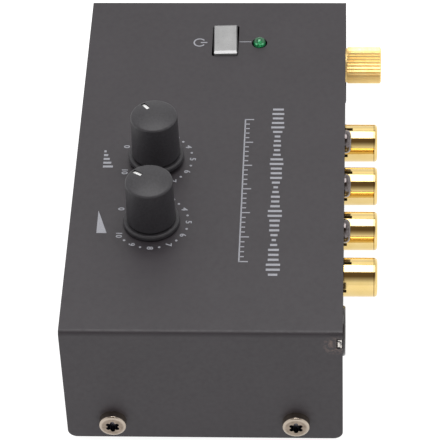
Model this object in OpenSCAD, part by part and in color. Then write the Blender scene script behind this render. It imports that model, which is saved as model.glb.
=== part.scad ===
// Phono preamplifier: a folded steel box with two rotary controls, a power button and a lamp
// on its lid, and four phono sockets, an earth terminal and a DC inlet on its back wall.
// Millimetres. +X runs along the case, +Y points out of the back wall and +Z points up. The
// origin lies on the table, under the middle of the whole object.

/* [Case] */
// Length of the case, over the lid's two end flaps
case_l = 105.2; // [104:0.2:140]
// Depth of the case, over the lid's edges
case_w = 58.5; // [57:0.5:80]
// Height of the case, without its feet
case_h = 32.8; // [32.4:0.2:42]
// Thickness of the folded steel sheet
sheet_t = 0.8; // [0.6:0.1:1]
// Inside radius of the lid's folds
lid_fold_r = 0.3; // [0.2:0.1:1]
// Inside radius of the chassis's folds
chassis_fold_r = 0.8; // [0.4:0.1:1.2]
// Radius of the end flaps' lower corners
flap_corner_r = 2; // [0.5:0.1:3]
// How far the end flaps stop above the underside of the floor
flap_lift = 0.45; // [0:0.05:0.8]
// How far the lid's edges stand past the front and back walls
lid_overhang = 0.2; // [0:0.1:0.5]
// Gap between the lid and the chassis it drops over
lid_gap = 0.1; // [0.05:0.05:0.3]

/* [Lid corners] */
// Width of the relief slits across the lid's folds, at its rear corners
relief_h = 0.6; // [0.4:0.1:1]
// Length of the relief slits, from the lid's rear edge
relief_l = 2.4; // [1.6:0.1:4]
// Height of the locating tabs at the back wall's ends
locating_tab_h = 2.3; // [1.5:0.1:3]
// Gap around a locating tab in its notch
locating_tab_gap = 0.25; // [0.1:0.05:0.4]
// Distance from the top of the lid to the middle of a locating tab
locating_tab_drop = 2.9; // [2.8:0.1:6]

/* [Feet and fixings] */
// Radius of a rubber foot
foot_r = 4; // [3:0.1:6]
// Height of a rubber foot
foot_h = 2; // [1:0.1:4]
// Rounding of a foot's lower edge
foot_round = 0.5; // [0.2:0.1:0.8]
// Distance of each foot's centre from the chassis's edges
foot_inset = 9; // [7:0.5:14]
// Distance of the end screws from the middle of the case
end_screw_y = 19.4; // [14:0.2:22]
// Height of the end screws above the underside of the floor
end_screw_z = 5.7; // [4.4:0.1:6]
// Shank radius of the end and board screws
case_screw_r = 1.5; // [1:0.1:1.6]
// Shank length of the end screws
case_screw_l = 5.5; // [4:0.5:6.5]
// Head radius of the end screws
case_head_r = 2.9; // [2.6:0.1:3.2]
// Head height of the end screws
case_head_h = 1.85; // [1.5:0.05:2.2]
// Radius over the lobes of the end screws' recess
lobe_reach = 1.55; // [1.2:0.05:1.7]
// Width of the tabs that the end screws go into
end_tab_w = 10; // [7:0.5:14]
// Height of the tabs that the end screws go into
end_tab_h = 9.5; // [8.5:0.5:14]

/* [Board] */
// Thickness of the circuit board
board_t = 1.6; // [1:0.1:2]
// Gap between the board's edges and the chassis
board_margin = 1.2; // [0.8:0.1:2]
// Distance from the lid's top down to the board's upper side
board_drop = 20.4; // [19.6:0.2:21.4]
// Radius of the standoffs
standoff_r = 2.8; // [2.5:0.1:3.4]
// Radius of the standoffs' spigots, pressed into the floor
spigot_r = 2.1; // [1.9:0.1:2.4]
// Depth of the thread in a standoff
standoff_thread = 7; // [5.5:0.5:7.5]
// Distance of the board screws from the board's edges
board_screw_inset = 6.5; // [6:0.5:8]
// Shank length of the board screws
board_screw_l = 6; // [5:0.5:6.5]
// Head radius of the board screws
board_head_r = 2.75; // [2.4:0.05:3]
// Head height of the board screws
board_head_h = 2; // [1.6:0.1:2.2]
// Length of the leads left under the board
lead_tail = 1.2; // [0.8:0.1:2]

/* [Phono sockets] */
// Distance between neighbouring sockets
jack_pitch = 14; // [13:0.2:15]
// Place of the socket row's middle along the case
jack_row_x = 4.1; // [2:0.1:5]
// Height of the sockets' axis above the board
jack_axis_h = 8.9; // [8.4:0.1:9.2]
// Outside radius of a socket sleeve
sleeve_r = 4.2; // [4.1:0.05:4.25]
// Wall of a socket sleeve
sleeve_wall = 0.75; // [0.5:0.05:0.9]
// How far the sleeves stand out of the back wall
jack_out = 7.4; // [6:0.1:9]
// Rounding of a sleeve's outer rim
rim_r = 0.65; // [0.3:0.05:0.7]
// How deep the sleeves sit in the socket block
sleeve_grip = 5; // [4:0.5:7]
// Radius of a centre contact's bore
contact_r = 1.6; // [1.5:0.05:1.7]
// Wall of a centre contact
contact_wall = 0.3; // [0.2:0.05:0.4]
// Length of a centre contact
contact_l = 7; // [6:0.5:8]
// How far an insulator's face lies inside the sleeve's rim
insulator_sink = 1; // [0.6:0.1:2]
// How far a centre contact's mouth lies behind the insulator's face
contact_sink = 1.4; // [1:0.1:2.5]
// Width of the windows beside the back wall
window_w = 0.85; // [0.5:0.05:1.2]
// Length of the windows above and below
window_l = 1.9; // [1:0.1:2.5]
// Length of the windows at the two sides
side_window_l = 0.8; // [0.5:0.1:2]
// Depth of the moulded socket block behind the wall
block_d = 12; // [10:0.5:13]
// Width of the block past the outer sockets' axes
block_side = 7.2; // [6.5:0.1:7.5]
// Height of the block above the sockets' axis
block_above = 5.6; // [5.2:0.1:7]
// Distance of the back wall's screws above the sockets' axis
rear_screw_up = 7; // [6.6:0.1:7.2]
// Shank radius of the back wall's screws
rear_screw_r = 1.4; // [1.2:0.1:1.5]
// Shank length of the back wall's screws
rear_screw_l = 7; // [5:0.5:8]
// Head radius of the back wall's screws
rear_head_r = 2.6; // [2.2:0.1:2.8]
// Head height of the back wall's screws
rear_head_h = 1.6; // [1.4:0.1:2]
// Rounding of the domed heads of the back wall's screws
rear_head_round = 1.2; // [0.4:0.1:1.3]
// Side of the square bosses that those screws go into
boss_w = 6; // [5:0.2:7]

/* [Earth terminal] */
// Distance of the earth terminal from the case's end
earth_inset = 9.4; // [8.5:0.1:10]
// Distance of the earth wire from the terminal
earth_lug_reach = 9; // [7:0.5:11]
// Width across the flats of the terminal's nut
earth_nut_af = 7; // [6.4:0.1:7.6]
// Thickness of the terminal's nut
earth_nut_t = 2.4; // [1.6:0.1:3]
// Radius over the thumb screw's knurl
knurl_r = 4.2; // [3.6:0.1:4.8]
// Depth of the knurl's grooves
knurl_depth = 0.28; // [0.1:0.02:0.4]
// Number of ridges in the knurl
knurl_count = 34; // [20:2:48]
// How far the terminal stands out of the back wall
earth_out = 8.3; // [7:0.1:10]
// Thickness of the terminal's washer
earth_washer_t = 0.5; // [0.3:0.1:0.8]
// Radius of the terminal's thread
earth_thread_r = 2; // [1.5:0.1:2.5]
// Length of the thread behind the washer
earth_thread_l = 8; // [7:0.5:9]
// How far the thumb screw backs out
earth_travel = 2.8; // [1.4:0.1:3.2]

/* [DC inlet] */
// Distance of the inlet from the nearest socket
dc_spacing = 15.7; // [13.6:0.1:16]
// Radius of the inlet's flange
dc_flange_r = 5.3; // [4.8:0.1:5.6]
// Thickness of the inlet's flange
dc_flange_t = 0.7; // [0.6:0.1:1.4]
// Radius of the inlet's threaded barrel
dc_barrel_r = 4; // [3.8:0.1:4.4]
// Depth of the inlet behind the back wall's face
dc_depth = 12; // [11.5:0.5:14]
// Radius of the hole that takes the plug
dc_hole_r = 2.9; // [2.75:0.05:3.1]
// Depth of the hole that takes the plug
dc_hole_depth = 9.5; // [9:0.5:10.5]
// Radius of the inlet's centre pin
dc_pin_r = 1.05; // [0.9:0.05:1.25]
// Width across the flats of the inlet's nut
dc_nut_af = 10; // [9.6:0.1:10.6]
// Thickness of the inlet's nut
dc_nut_t = 2; // [1.5:0.1:2.5]

/* [Controls] */
// Place of the level control along the case
level_x = 0.7; // [-1:0.1:2]
// Distance between the level and the volume control
dial_pitch = 19.5; // [18:0.1:20]
// Place of both controls across the case
dial_y = -11.7; // [-13:0.1:-10]
// Turn of the level knob past its zero mark, in degrees
level_turn = 25; // [0:1:270]
// Turn of the volume knob past its zero mark, in degrees
volume_turn = 9; // [0:1:270]
// Gap between the level knob and the lid
level_knob_gap = 1; // [0.3:0.1:1]
// Gap between the volume knob and the lid
volume_knob_gap = 0.3; // [0.3:0.1:1]
// Height of a knob
knob_h = 12.6; // [11:0.1:16]
// Radius of the dome that forms a knob's top
dome_r = 17.5; // [15:0.5:40]
// Radius of a knob at its foot
knob_base_r = 5.25; // [5.1:0.05:5.8]
// Radius of a knob at its top
knob_top_r = 5.05; // [4.8:0.05:5.2]
// Rounding of a knob's top edge
crown_r = 0.5; // [0.3:0.05:1]
// Radius of the ring around a knob's foot
ring_r = 6.05; // [5.9:0.05:6.6]
// Thickness of the ring around a knob's foot
ring_t = 1; // [0.6:0.1:1.6]
// Height of the groove above the ring
groove_h = 0.5; // [0.2:0.05:0.6]
// Radius at the bottom of that groove
groove_r = 4.8; // [4.6:0.1:5]
// Width of a knob's pointer
pointer_w = 0.95; // [0.4:0.1:1.2]
// Distance of the pointer's inner end from the axis
pointer_from = 2; // [1:0.1:3]
// Distance of the pointer's outer end from the axis
pointer_to = 4.5; // [3.6:0.1:4.5]
// Depth of the pointer below a knob's top
pointer_sink = 0.4; // [0.1:0.05:0.6]
// Thickness of the pointer
pointer_t = 0.6; // [0.4:0.1:0.8]
// Side of a potentiometer's body
pot_w = 11.6; // [11:0.1:12.4]
// Height of a potentiometer's body
pot_h = 7; // [6.6:0.1:8]
// Radius of a potentiometer's bush
bush_r = 3.8; // [3.6:0.1:4.2]
// Height of a potentiometer's bush
bush_h = 5; // [3:0.5:8]
// Radius of a potentiometer's shaft
shaft_r = 3; // [2.5:0.1:3]
// Depth of the flat along the top of a shaft
shaft_flat = 1.5; // [1:0.1:1.6]
// Thickness of the plate over a knob's shaft hole
knob_crown_t = 2.4; // [2:0.1:3]
// How deep a knob grips its shaft
knob_grip = 8; // [6:0.5:9]
// Radius of a potentiometer's resistive track plate
track_r = 4.6; // [4.5:0.1:4.8]
// Thickness of a potentiometer's track plate
track_t = 0.8; // [0.6:0.1:1]
// Radius of the wiper disc on a shaft
wiper_r = 4.3; // [4:0.1:4.4]
// Thickness of the wiper disc
wiper_t = 1.4; // [1:0.1:1.6]

/* [Power button] */
// Place of the button along the case
button_x = -38.55; // [-40:0.05:-38]
// Place of the button across the case
button_y = 1.9; // [1:0.1:3]
// Length of the button's cap
button_l = 9.8; // [8:0.1:10]
// Width of the button's cap
button_w = 5.3; // [5:0.1:6]
// How far the cap stands out of the lid
button_out = 0.8; // [0.6:0.1:3]
// Rounding of the cap's upright edges
button_round = 0.3; // [0.2:0.05:0.8]
// Width of the bevels at the two ends of the cap's face
button_end_bevel = 0.65; // [0.3:0.05:1]
// Width of the bevels along the two sides of the cap's face
button_side_bevel = 0.2; // [0.15:0.05:0.5]
// Depth of the bevels below the cap's face
button_bevel_drop = 0.35; // [0.2:0.05:0.6]
// Depth of the cap's skirt
button_skirt = 5; // [4:0.5:6]
// Wall of the cap's skirt
button_wall = 0.9; // [0.6:0.1:1]
// Thickness of the cap's face
button_face = 1.2; // [0.8:0.1:1.6]
// Slack turn of the cap on its stem, in degrees
button_slack = 2; // [0:0.1:3]
// Gap between the cap and the lid's opening
button_gap = 0.35; // [0.35:0.05:0.6]
// Travel of the button
button_travel = 2; // [1:0.1:2.4]
// Side of the switch's body
switch_w = 8.2; // [8:0.1:8.6]
// Height of the switch's body
switch_h = 9; // [8.6:0.1:10]
// Side of the switch's square plunger
plunger_w = 2.4; // [2:0.1:2.6]
// Side of the collar that keeps the plunger in
collar_w = 4.4; // [4:0.1:4.6]
// Height of that collar
collar_h = 1.2; // [0.8:0.1:1.6]
// How deep the cap's stem grips the plunger
stem_grip = 5; // [3:0.5:6]
// Side of the cap's square stem
stem_w = 4.4; // [4:0.1:4.6]
// Thickness of the switch's floor
switch_floor = 1; // [0.6:0.1:1.4]
// Length of the return spring at rest
spring_l = 3.6; // [3.2:0.1:4]
// Radius of the return spring, to the middle of its wire
spring_r = 1.3; // [1:0.1:1.5]
// Radius of the return spring's wire
spring_wire_r = 0.16; // [0.1:0.02:0.2]
// Turns of the return spring
spring_turns = 5; // [3:1:6]

/* [Lamp] */
// Place of the lamp along the case
lamp_x = -37.8; // [-39:0.1:-36]
// Place of the lamp across the case
lamp_y = 9.65; // [9.4:0.05:12]
// Radius of the lamp's lens
lamp_r = 1.4; // [1.2:0.05:1.5]
// Length of the lamp
lamp_l = 5.3; // [4.5:0.1:6]
// How far the lamp stands out of the lid
lamp_out = 1.4; // [1:0.1:2.6]
// Radius of the hole for the lamp
lamp_hole_r = 1.75; // [1.75:0.05:2]
// Radius of the flange at the lamp's foot
lamp_flange_r = 1.9; // [1.7:0.1:2]
// Radius of the post that carries the lamp
lamp_post_r = 2.1; // [2:0.1:2.4]
// Distance between the lamp's two legs
lamp_leg_pitch = 2; // [1.6:0.1:2.4]

/* [Circuit parts] */
// Radius of the big filter capacitors
filter_cap_r = 4; // [3:0.1:4.4]
// Height of the big filter capacitors
filter_cap_h = 11.5; // [9:0.5:14]
// Radius of the small coupling capacitors
coupling_cap_r = 2.5; // [2:0.1:2.6]
// Height of the small coupling capacitors
coupling_cap_h = 11; // [7:0.5:13]
// Length of a film capacitor
film_cap_l = 7.2; // [6.5:0.1:8]
// Thickness of a film capacitor
film_cap_w = 3.6; // [2.5:0.1:4.6]
// Height of a film capacitor
film_cap_h = 7.5; // [5:0.5:9]
// Radius of a resistor's ends
resistor_r = 1.15; // [0.9:0.05:1.4]
// Length of a resistor's body
resistor_l = 6.2; // [5:0.1:7]
// Radius of the rectifier's body
rectifier_r = 1.35; // [1.2:0.05:1.6]
// Length of the rectifier's body
rectifier_l = 5.2; // [4:0.1:6]
// Length of an amplifier chip
chip_l = 9.8; // [9.4:0.1:10.4]
// Width of an amplifier chip
chip_w = 6.4; // [6:0.1:6.6]
// Height of an amplifier chip's body
chip_h = 3.3; // [2.5:0.1:4]
// Height of a chip socket
socket_h = 4.2; // [3.5:0.1:5]
// Radius of the hook-up wires
wire_r = 0.6; // [0.4:0.05:0.7]
// Bend radius of the hook-up wires
wire_bend = 2.5; // [2:0.1:3]

/* [Clearances] */
// Gap around a thread in its hole
thread_gap = 0.05; // [0.02:0.01:0.1]
// Gap around a screw that passes through a sheet
pass_gap = 0.2; // [0.1:0.05:0.4]
// Running gap around a turning shaft
running_gap = 0.05; // [0.02:0.01:0.08]
// Gap around a piece that is pushed into another
push_gap = 0.02; // [0.01:0.01:0.04]
// Gap around a lead in its board hole
lead_gap = 0.1; // [0.05:0.05:0.2]
// Gap around a socket or barrel that comes through the back wall
wall_gap = 0.3; // [0.2:0.05:0.4]
// Gap around a control's shaft in the lid
shaft_gap = 0.6; // [0.3:0.1:1]
// Free gap between moving pieces that don't guide each other
free_gap = 0.3; // [0.2:0.05:0.4]

/* [Hidden] */
$fn = 48;

// How far a cutter runs past the face that it cuts
over = 1;
// Rounding of a pan head's edge, reach of a cross recess, and the radii of the leads and pins
head_round = 0.5;
cross_reach = 1.5;
lead_r = 0.3;
pot_lead_r = 0.4;
leg_r = 0.25;
contact_tail_r = 0.5;

// Case
chassis_l = case_l - 2 * (sheet_t + lid_gap);
chassis_w = case_w - 2 * lid_overhang;
wall_top = case_h - sheet_t - lid_gap;
back_y = chassis_w / 2;
back_inside = back_y - sheet_t;
rear_reach = back_y + max(earth_out, jack_out);
case_y = (case_w / 2 - rear_reach) / 2;
end_tab_x = chassis_l / 2 - sheet_t;

// Board
board_top = case_h - board_drop;
board_low = board_top - board_t;
standoff_h = board_low - sheet_t;
board_l = 2 * (end_tab_x - board_margin);
board_w = 2 * (back_inside - board_margin);
board_screw_x = board_l / 2 - board_screw_inset;
board_screw_y = board_w / 2 - board_screw_inset;
tail_z = board_low - lead_tail;

// Back wall
jack_z = board_top + jack_axis_h;
jack_x = [for (i = [0:3]) jack_row_x + (i - 1.5) * jack_pitch];
rear_screw_x = [for (i = [0:2]) jack_row_x + (i - 1) * jack_pitch];
earth_x = earth_inset - case_l / 2;
dc_x = jack_x[3] + dc_spacing;
seat_z = -sheet_t - sleeve_grip;
sleeve_seat_r = sleeve_r - sleeve_wall / 2;
insulator_r = sleeve_r - sleeve_wall;
insulator_face = jack_out - insulator_sink;
contact_mouth = insulator_face - contact_sink;
contact_back = contact_mouth - contact_l;
contact_out_r = contact_r + contact_wall;
contact_mouth_r = contact_out_r + 0.4;
core_z = window_l + 0.4;
tail_behind = 1.2;
tail_y = back_inside - block_d - tail_behind;
tag_y = back_y + seat_z + 0.5;
tag_w = 1.8;
tag_t = 0.5;
block_l = 3 * jack_pitch + 2 * block_side;
block_wall = 1.6;

// Controls
level_at = [level_x, dial_y];
volume_at = [level_x + dial_pitch, dial_y];
zero_mark = 210;
level_knob_z = case_h + level_knob_gap;
volume_knob_z = case_h + volume_knob_gap;
shaft_in_knob = knob_h - knob_crown_t - free_gap;
wiper_z = board_top + track_t + free_gap;
pot_hollow_h = track_t + wiper_t + 2 * free_gap;
pot_hollow_r = track_r + push_gap;

// Button and lamp
button_at = [button_x, button_y];
button_top = case_h + button_out;
collar_z = board_top + switch_floor + spring_l;
plunger_top = board_top + switch_h + stem_grip + button_travel + 2 * free_gap;
lamp_at = [lamp_x, lamp_y];
lamp_foot_z = case_h + lamp_out - lamp_l;

// Places of the circuit parts, packed from the controls outwards
part_gap = 1;
resistor_pitch = 10;
upper_y = 6;
film_x = level_at.x - pot_w / 2 - part_gap - film_cap_l / 2;
film_step = [film_cap_l + part_gap, film_cap_w + part_gap];
film_caps_at = [
    for (column = [0, 1], row = [-1:1])
        [film_x - column * film_step.x, dial_y + row * film_step.y]
];
resistor_x = film_x - 1.5 * film_cap_l - 2 * part_gap - resistor_pitch / 2 - lead_r;
resistor_step = 2 * resistor_r + part_gap;
resistor_y = dial_y - pot_w / 2 - part_gap - resistor_r;
resistors_at = concat(
    [for (row = [0:3]) [resistor_x, dial_y + (row - 1.5) * resistor_step]],
    [for (row = [0, 1]) [resistor_x, upper_y + 1 + (row - 0.5) * resistor_step]],
    [for (at = [level_at, volume_at], row = [0, 1]) [at.x, resistor_y - row * resistor_step]]
);
coupling_step = 2 * coupling_cap_r + part_gap;
coupling_caps_at = [
    for (x = [-17, 22], row = [-0.5, 0.5]) [x, upper_y - 0.3 + row * coupling_step]
];
chips_at = [[-6, upper_y], [12, upper_y]];
filter_x = 38.9;
filter_step = 2 * filter_cap_r + part_gap;
filter_caps_at = [[filter_x, -3], [filter_x, -3 - filter_step], [30, -18.5]];
regulator_at = [31, 1];
rectifier_at = [31, upper_y + 1];
earth_wire_x = earth_x + earth_lug_reach;
dc_wire_gap = 2.8;
dc_tag_l = 3;

// Lead spacings of the circuit parts
filter_pitch = 3.5;
coupling_pitch = 2;
film_pitch = 5;
regulator_pitch = 2.5;
chip_pitch = 2.54;
chip_row = 7.62;
pot_pin_pitch = 2.5;
pot_pin_row = 5;
switch_pin_pitch = 2.5;
switch_pin_row = 5;

function pair(at, pitch) = [for (s = [-1, 1]) [at.x + s * pitch / 2, at.y]];
function pairs(spots, pitch) = [for (at = spots) each pair(at, pitch)];
function two_rows(at, count, pitch, row) = [
    for (s = [-1, 1], i = [0:count - 1])
        [at.x + (i - (count - 1) / 2) * pitch, at.y + s * row / 2]
];
function pot_pins(at) = two_rows(at, 3, pot_pin_pitch, pot_pin_row);
switch_pins = two_rows(button_at, 3, switch_pin_pitch, switch_pin_row);
lamp_leg_spots = [for (s = [-1, 1]) [lamp_at.x, lamp_at.y + s * lamp_leg_pitch / 2]];
regulator_pins = [for (i = [-1:1]) [regulator_at.x + i * regulator_pitch, regulator_at.y]];
earth_wire_y = back_inside - 1.5 - wire_bend;
dc_wire_y = back_y - dc_depth - dc_tag_l - wire_bend;
wire_ends = [
    [earth_wire_x, earth_wire_y], [dc_x, dc_wire_y], [dc_x - dc_wire_gap, dc_wire_y]
];
board_corners = [
    for (sx = [-1, 1], sy = [-1, 1]) [sx * board_screw_x, sy * board_screw_y]
];
thin_leads = concat(
    pairs(filter_caps_at, filter_pitch), pairs(coupling_caps_at, coupling_pitch),
    pairs(film_caps_at, film_pitch), pairs(resistors_at, resistor_pitch),
    pair(rectifier_at, resistor_pitch), regulator_pins, wire_ends,
    two_rows(chips_at[0], 4, chip_pitch, chip_row),
    two_rows(chips_at[1], 4, chip_pitch, chip_row)
);
pin_leads = concat(pot_pins(level_at), pot_pins(volume_at), switch_pins);

// Moves a piece from the case's own place, with the case's underside at zero, to the frame
module in_case() {
    translate([0, case_y, foot_h]) children();
}

// Turns a piece that is built along +Z to point out of the back wall's outer face
module out_of_back(x, z) {
    translate([x, back_y, z]) rotate([-90, 0, 0]) children();
}

// A profile with two rounded upper corners, standing on its lower edge
module arch(l, h, r) {
    translate([-l / 2, 0]) square([l, h - r]);
    translate([r - l / 2, 0]) square([l - 2 * r, h]);
    for (s = [-1, 1]) translate([s * (l / 2 - r), h - r]) circle(r);
}

// The same profile turned over, with its lower corners rounded
module tray(l, h, r) {
    translate([0, h]) mirror([0, 1]) arch(l, h, r);
}

module box_on(size, at = [0, 0, 0]) {
    translate([at.x - size.x / 2, at.y - size.y / 2, at.z]) cube(size);
}

module rounded_post(l, w, h, r) {
    box_on([l - 2 * r, w, h]);
    box_on([l, w - 2 * r, h]);
    for (sx = [-1, 1], sy = [-1, 1])
        translate([sx * (l / 2 - r), sy * (w / 2 - r), 0]) cylinder(h = h, r = r);
}

// A post with every upper edge and corner rounded
module rounded_cap(l, w, h, r) {
    rounded_post(l, w, h - r, r);
    box_on([l - 2 * r, w - 2 * r, h]);
    for (sx = [-1, 1], sy = [-1, 1])
        translate([sx * (l / 2 - r), sy * (w / 2 - r), h - r]) sphere(r);
    for (s = [-1, 1]) {
        translate([r - l / 2, s * (w / 2 - r), h - r])
            rotate([0, 90, 0]) cylinder(h = l - 2 * r, r = r);
        translate([s * (l / 2 - r), w / 2 - r, h - r])
            rotate([90, 0, 0]) cylinder(h = w - 2 * r, r = r);
    }
}

// A disc with its upper edge rounded
module rounded_disc(h, r, edge) {
    rotate_extrude() {
        square([r, h - edge]);
        square([r - edge, h]);
        intersection() {
            translate([r - edge, h - edge]) circle(edge);
            square([r, h]);
        }
    }
}

module tube(h, r_out, r_in) {
    difference() {
        cylinder(h = h, r = r_out);
        translate([0, 0, -over]) cylinder(h = h + 2 * over, r = r_in);
    }
}

module cross_recess(reach, depth) {
    for (a = [0, 90]) rotate(a) box_on([2 * reach, 0.7, depth + over], [0, 0, -depth]);
}

module leads(spots, r, top) {
    for (at = spots) translate([at.x, at.y, tail_z]) cylinder(h = top - tail_z, r = r);
}

// Case ------------------------------------------------------------------------------------

module end_screw_places() {
    for (s = [-1, 1], y = [-end_screw_y, end_screw_y])
        translate([s * case_l / 2, y, end_screw_z]) rotate([0, s * 90, 0]) children();
}

module lid_section() {
    difference() {
        arch(case_l, case_h - flap_lift, lid_fold_r + sheet_t);
        translate([0, -over])
            arch(case_l - 2 * sheet_t, case_h - flap_lift - sheet_t + over, lid_fold_r);
    }
}

module lid_corner_cuts() {
    notch_w = sheet_t + lid_overhang + locating_tab_gap;
    notch_h = locating_tab_h + 2 * locating_tab_gap;
    fold = sheet_t + lid_fold_r;
    for (s = [-1, 1]) {
        translate([s * case_l / 2, case_w / 2 - notch_w, case_h - locating_tab_drop - notch_h / 2])
            box_on([4 * sheet_t, 2 * notch_w, notch_h], [0, notch_w, 0]);
        translate([s * (case_l / 2 - fold), case_w / 2, case_h - fold])
            rotate([0, s * 45, 0]) box_on([relief_h, 2 * relief_l, fold + over]);
    }
}

module top_cover() {
    color("#565557") in_case() difference() {
        intersection() {
            translate([0, 0, flap_lift]) rotate([90, 0, 0])
                linear_extrude(case_w, center = true) lid_section();
            translate([0, 0, flap_lift]) rotate([90, 0, 90])
                linear_extrude(case_l + 2 * over, center = true)
                    tray(case_w, case_h, flap_corner_r);
        }
        for (at = [level_at, volume_at])
            translate([at.x, at.y, case_h - sheet_t - over])
                cylinder(h = sheet_t + 2 * over, r = shaft_r + shaft_gap);
        translate([button_x, button_y, case_h - sheet_t - over])
            rounded_post(button_l + 2 * button_gap, button_w + 2 * button_gap,
                sheet_t + 2 * over, button_round + button_gap);
        translate([lamp_x, lamp_y, case_h - sheet_t - over])
            cylinder(h = sheet_t + 2 * over, r = lamp_hole_r);
        end_screw_places() translate([0, 0, -2 * sheet_t])
            cylinder(h = sheet_t * 2 + over, r = case_screw_r + pass_gap);
        lid_corner_cuts();
    }
}

module back_wall_holes() {
    reach = sheet_t + over;
    for (x = jack_x) out_of_back(x, jack_z) translate([0, 0, -reach])
        cylinder(h = reach + over, r = sleeve_r + wall_gap);
    for (x = rear_screw_x) out_of_back(x, jack_z + rear_screw_up) translate([0, 0, -reach])
        cylinder(h = reach + over, r = rear_screw_r + pass_gap);
    out_of_back(earth_x, jack_z) translate([0, 0, -reach])
        cylinder(h = reach + over, r = earth_thread_r + pass_gap);
    out_of_back(dc_x, jack_z) translate([0, 0, -reach])
        cylinder(h = reach + over, r = dc_barrel_r + pass_gap / 2);
}

module chassis() {
    tab_reach = sheet_t + lid_gap;
    color("#4b4a4c") in_case() difference() {
        union() {
            rotate([90, 0, 90]) linear_extrude(chassis_l, center = true) difference() {
                tray(chassis_w, wall_top, chassis_fold_r + sheet_t);
                translate([0, sheet_t])
                    tray(chassis_w - 2 * sheet_t, wall_top + over, chassis_fold_r);
            }
            for (s = [-1, 1]) {
                for (y = [-end_screw_y, end_screw_y])
                    box_on([sheet_t, end_tab_w, end_tab_h], [s * (end_tab_x + sheet_t / 2), y, 0]);
                translate([s * chassis_l / 2, back_y - sheet_t / 2,
                        case_h - locating_tab_drop - locating_tab_h / 2])
                    box_on([2 * tab_reach, sheet_t, locating_tab_h]);
            }
        }
        back_wall_holes();
        end_screw_places() translate([0, 0, -3 * sheet_t - lid_gap])
            cylinder(h = 2 * sheet_t, r = case_screw_r + thread_gap);
        for (at = board_corners) translate([at.x, at.y, -over])
            cylinder(h = sheet_t + 2 * over, r = spigot_r);
    }
}

module rubber_feet() {
    color("#1b1b1c") in_case()
        for (sx = [-1, 1], sy = [-1, 1])
            translate([sx * (chassis_l / 2 - foot_inset), sy * (chassis_w / 2 - foot_inset), 0])
                mirror([0, 0, 1]) rounded_disc(foot_h, foot_r, foot_round);
}

module end_screws() {
    lobe_r = 0.46;
    recess = 1.1;
    color("#8a7664") in_case() end_screw_places() {
        difference() {
            rounded_disc(case_head_h, case_head_r, head_round);
            translate([0, 0, case_head_h - recess]) {
                cylinder(h = recess + over, r = lobe_reach - lobe_r);
                for (i = [0:5]) rotate(60 * i)
                    translate([lobe_reach - lobe_r, 0, 0])
                        cylinder(h = recess + over, r = lobe_r);
            }
        }
        translate([0, 0, -case_screw_l]) cylinder(h = case_screw_l, r = case_screw_r);
    }
}

// Board -----------------------------------------------------------------------------------

module circuit_board() {
    drill = board_t + 2 * over;
    color("#2f6b45") in_case() difference() {
        box_on([board_l, board_w, board_t], [0, 0, board_low]);
        for (at = board_corners) translate([at.x, at.y, board_low - over])
            cylinder(h = drill, r = case_screw_r + pass_gap);
        for (at = thin_leads) translate([at.x, at.y, board_low - over])
            cylinder(h = drill, r = lead_r + lead_gap);
        for (at = pin_leads) translate([at.x, at.y, board_low - over])
            cylinder(h = drill, r = pot_lead_r + lead_gap);
        for (at = lamp_leg_spots) translate([at.x, at.y, board_low - over])
            cylinder(h = drill, r = leg_r + lead_gap);
        for (x = jack_x) {
            translate([x, tail_y, board_low - over])
                cylinder(h = drill, r = contact_tail_r + lead_gap);
            box_on([tag_w + 2 * lead_gap, tag_t + 2 * lead_gap, drill],
                [x, tag_y, board_low - over]);
        }
    }
}

module board_standoffs() {
    color("#b9b9bd") in_case() for (at = board_corners) translate([at.x, at.y, 0])
        difference() {
            union() {
                cylinder(h = sheet_t, r = spigot_r);
                translate([0, 0, sheet_t]) cylinder(h = standoff_h, r = standoff_r);
            }
            translate([0, 0, board_low - standoff_thread])
                cylinder(h = standoff_thread + over, r = case_screw_r + thread_gap);
        }
}

module board_screws() {
    shank = board_screw_l;
    color("#c6c6ca") in_case() for (at = board_corners) translate([at.x, at.y, board_top]) {
        difference() {
            rounded_disc(board_head_h, board_head_r, head_round);
            translate([0, 0, board_head_h]) cross_recess(cross_reach, 1);
        }
        translate([0, 0, -shank]) cylinder(h = shank, r = case_screw_r);
    }
}

// Phono sockets ---------------------------------------------------------------------------

module phono_socket_block() {
    low = board_top - jack_z;
    boss_h = rear_screw_up + rear_screw_r + block_wall;
    color("#26262a") in_case() difference() {
        union() {
            translate([jack_row_x, back_inside - block_d / 2, board_top])
                box_on([block_l, block_d, block_above - low]);
            for (x = rear_screw_x)
                translate([x, back_inside - block_d / 2, board_top])
                    box_on([boss_w, block_d, boss_h - low]);
        }
        for (x = jack_x) {
            out_of_back(x, jack_z) translate([0, 0, seat_z])
                cylinder(h = sleeve_grip + over, r = sleeve_seat_r + push_gap);
            out_of_back(x, jack_z) translate([0, 0, -sheet_t - block_d - over])
                cylinder(h = block_d, r = contact_tail_r + lead_gap);
            box_on([tag_w + 2 * lead_gap, tag_t + 2 * lead_gap, jack_z - board_top],
                [x, tag_y, board_top - over]);
        }
        for (x = rear_screw_x) out_of_back(x, jack_z + rear_screw_up)
            translate([0, 0, -sheet_t - rear_screw_l])
                cylinder(h = rear_screw_l + over, r = rear_screw_r + thread_gap);
    }
    color("#26262a") in_case() for (x = jack_x) out_of_back(x, jack_z) difference() {
        translate([0, 0, seat_z - over]) cylinder(h = core_z - seat_z + over, r = insulator_r);
        contact_room();
    }
}

// The room that a centre contact and its tail take up
module contact_room() {
    translate([0, 0, contact_back]) cylinder(h = contact_l, r = contact_out_r);
    translate([0, 0, contact_mouth]) cylinder(h = contact_sink + over, r = contact_mouth_r);
    translate([0, 0, seat_z - 2 * over])
        cylinder(h = contact_back - seat_z + 3 * over, r = contact_tail_r + lead_gap);
}

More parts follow.
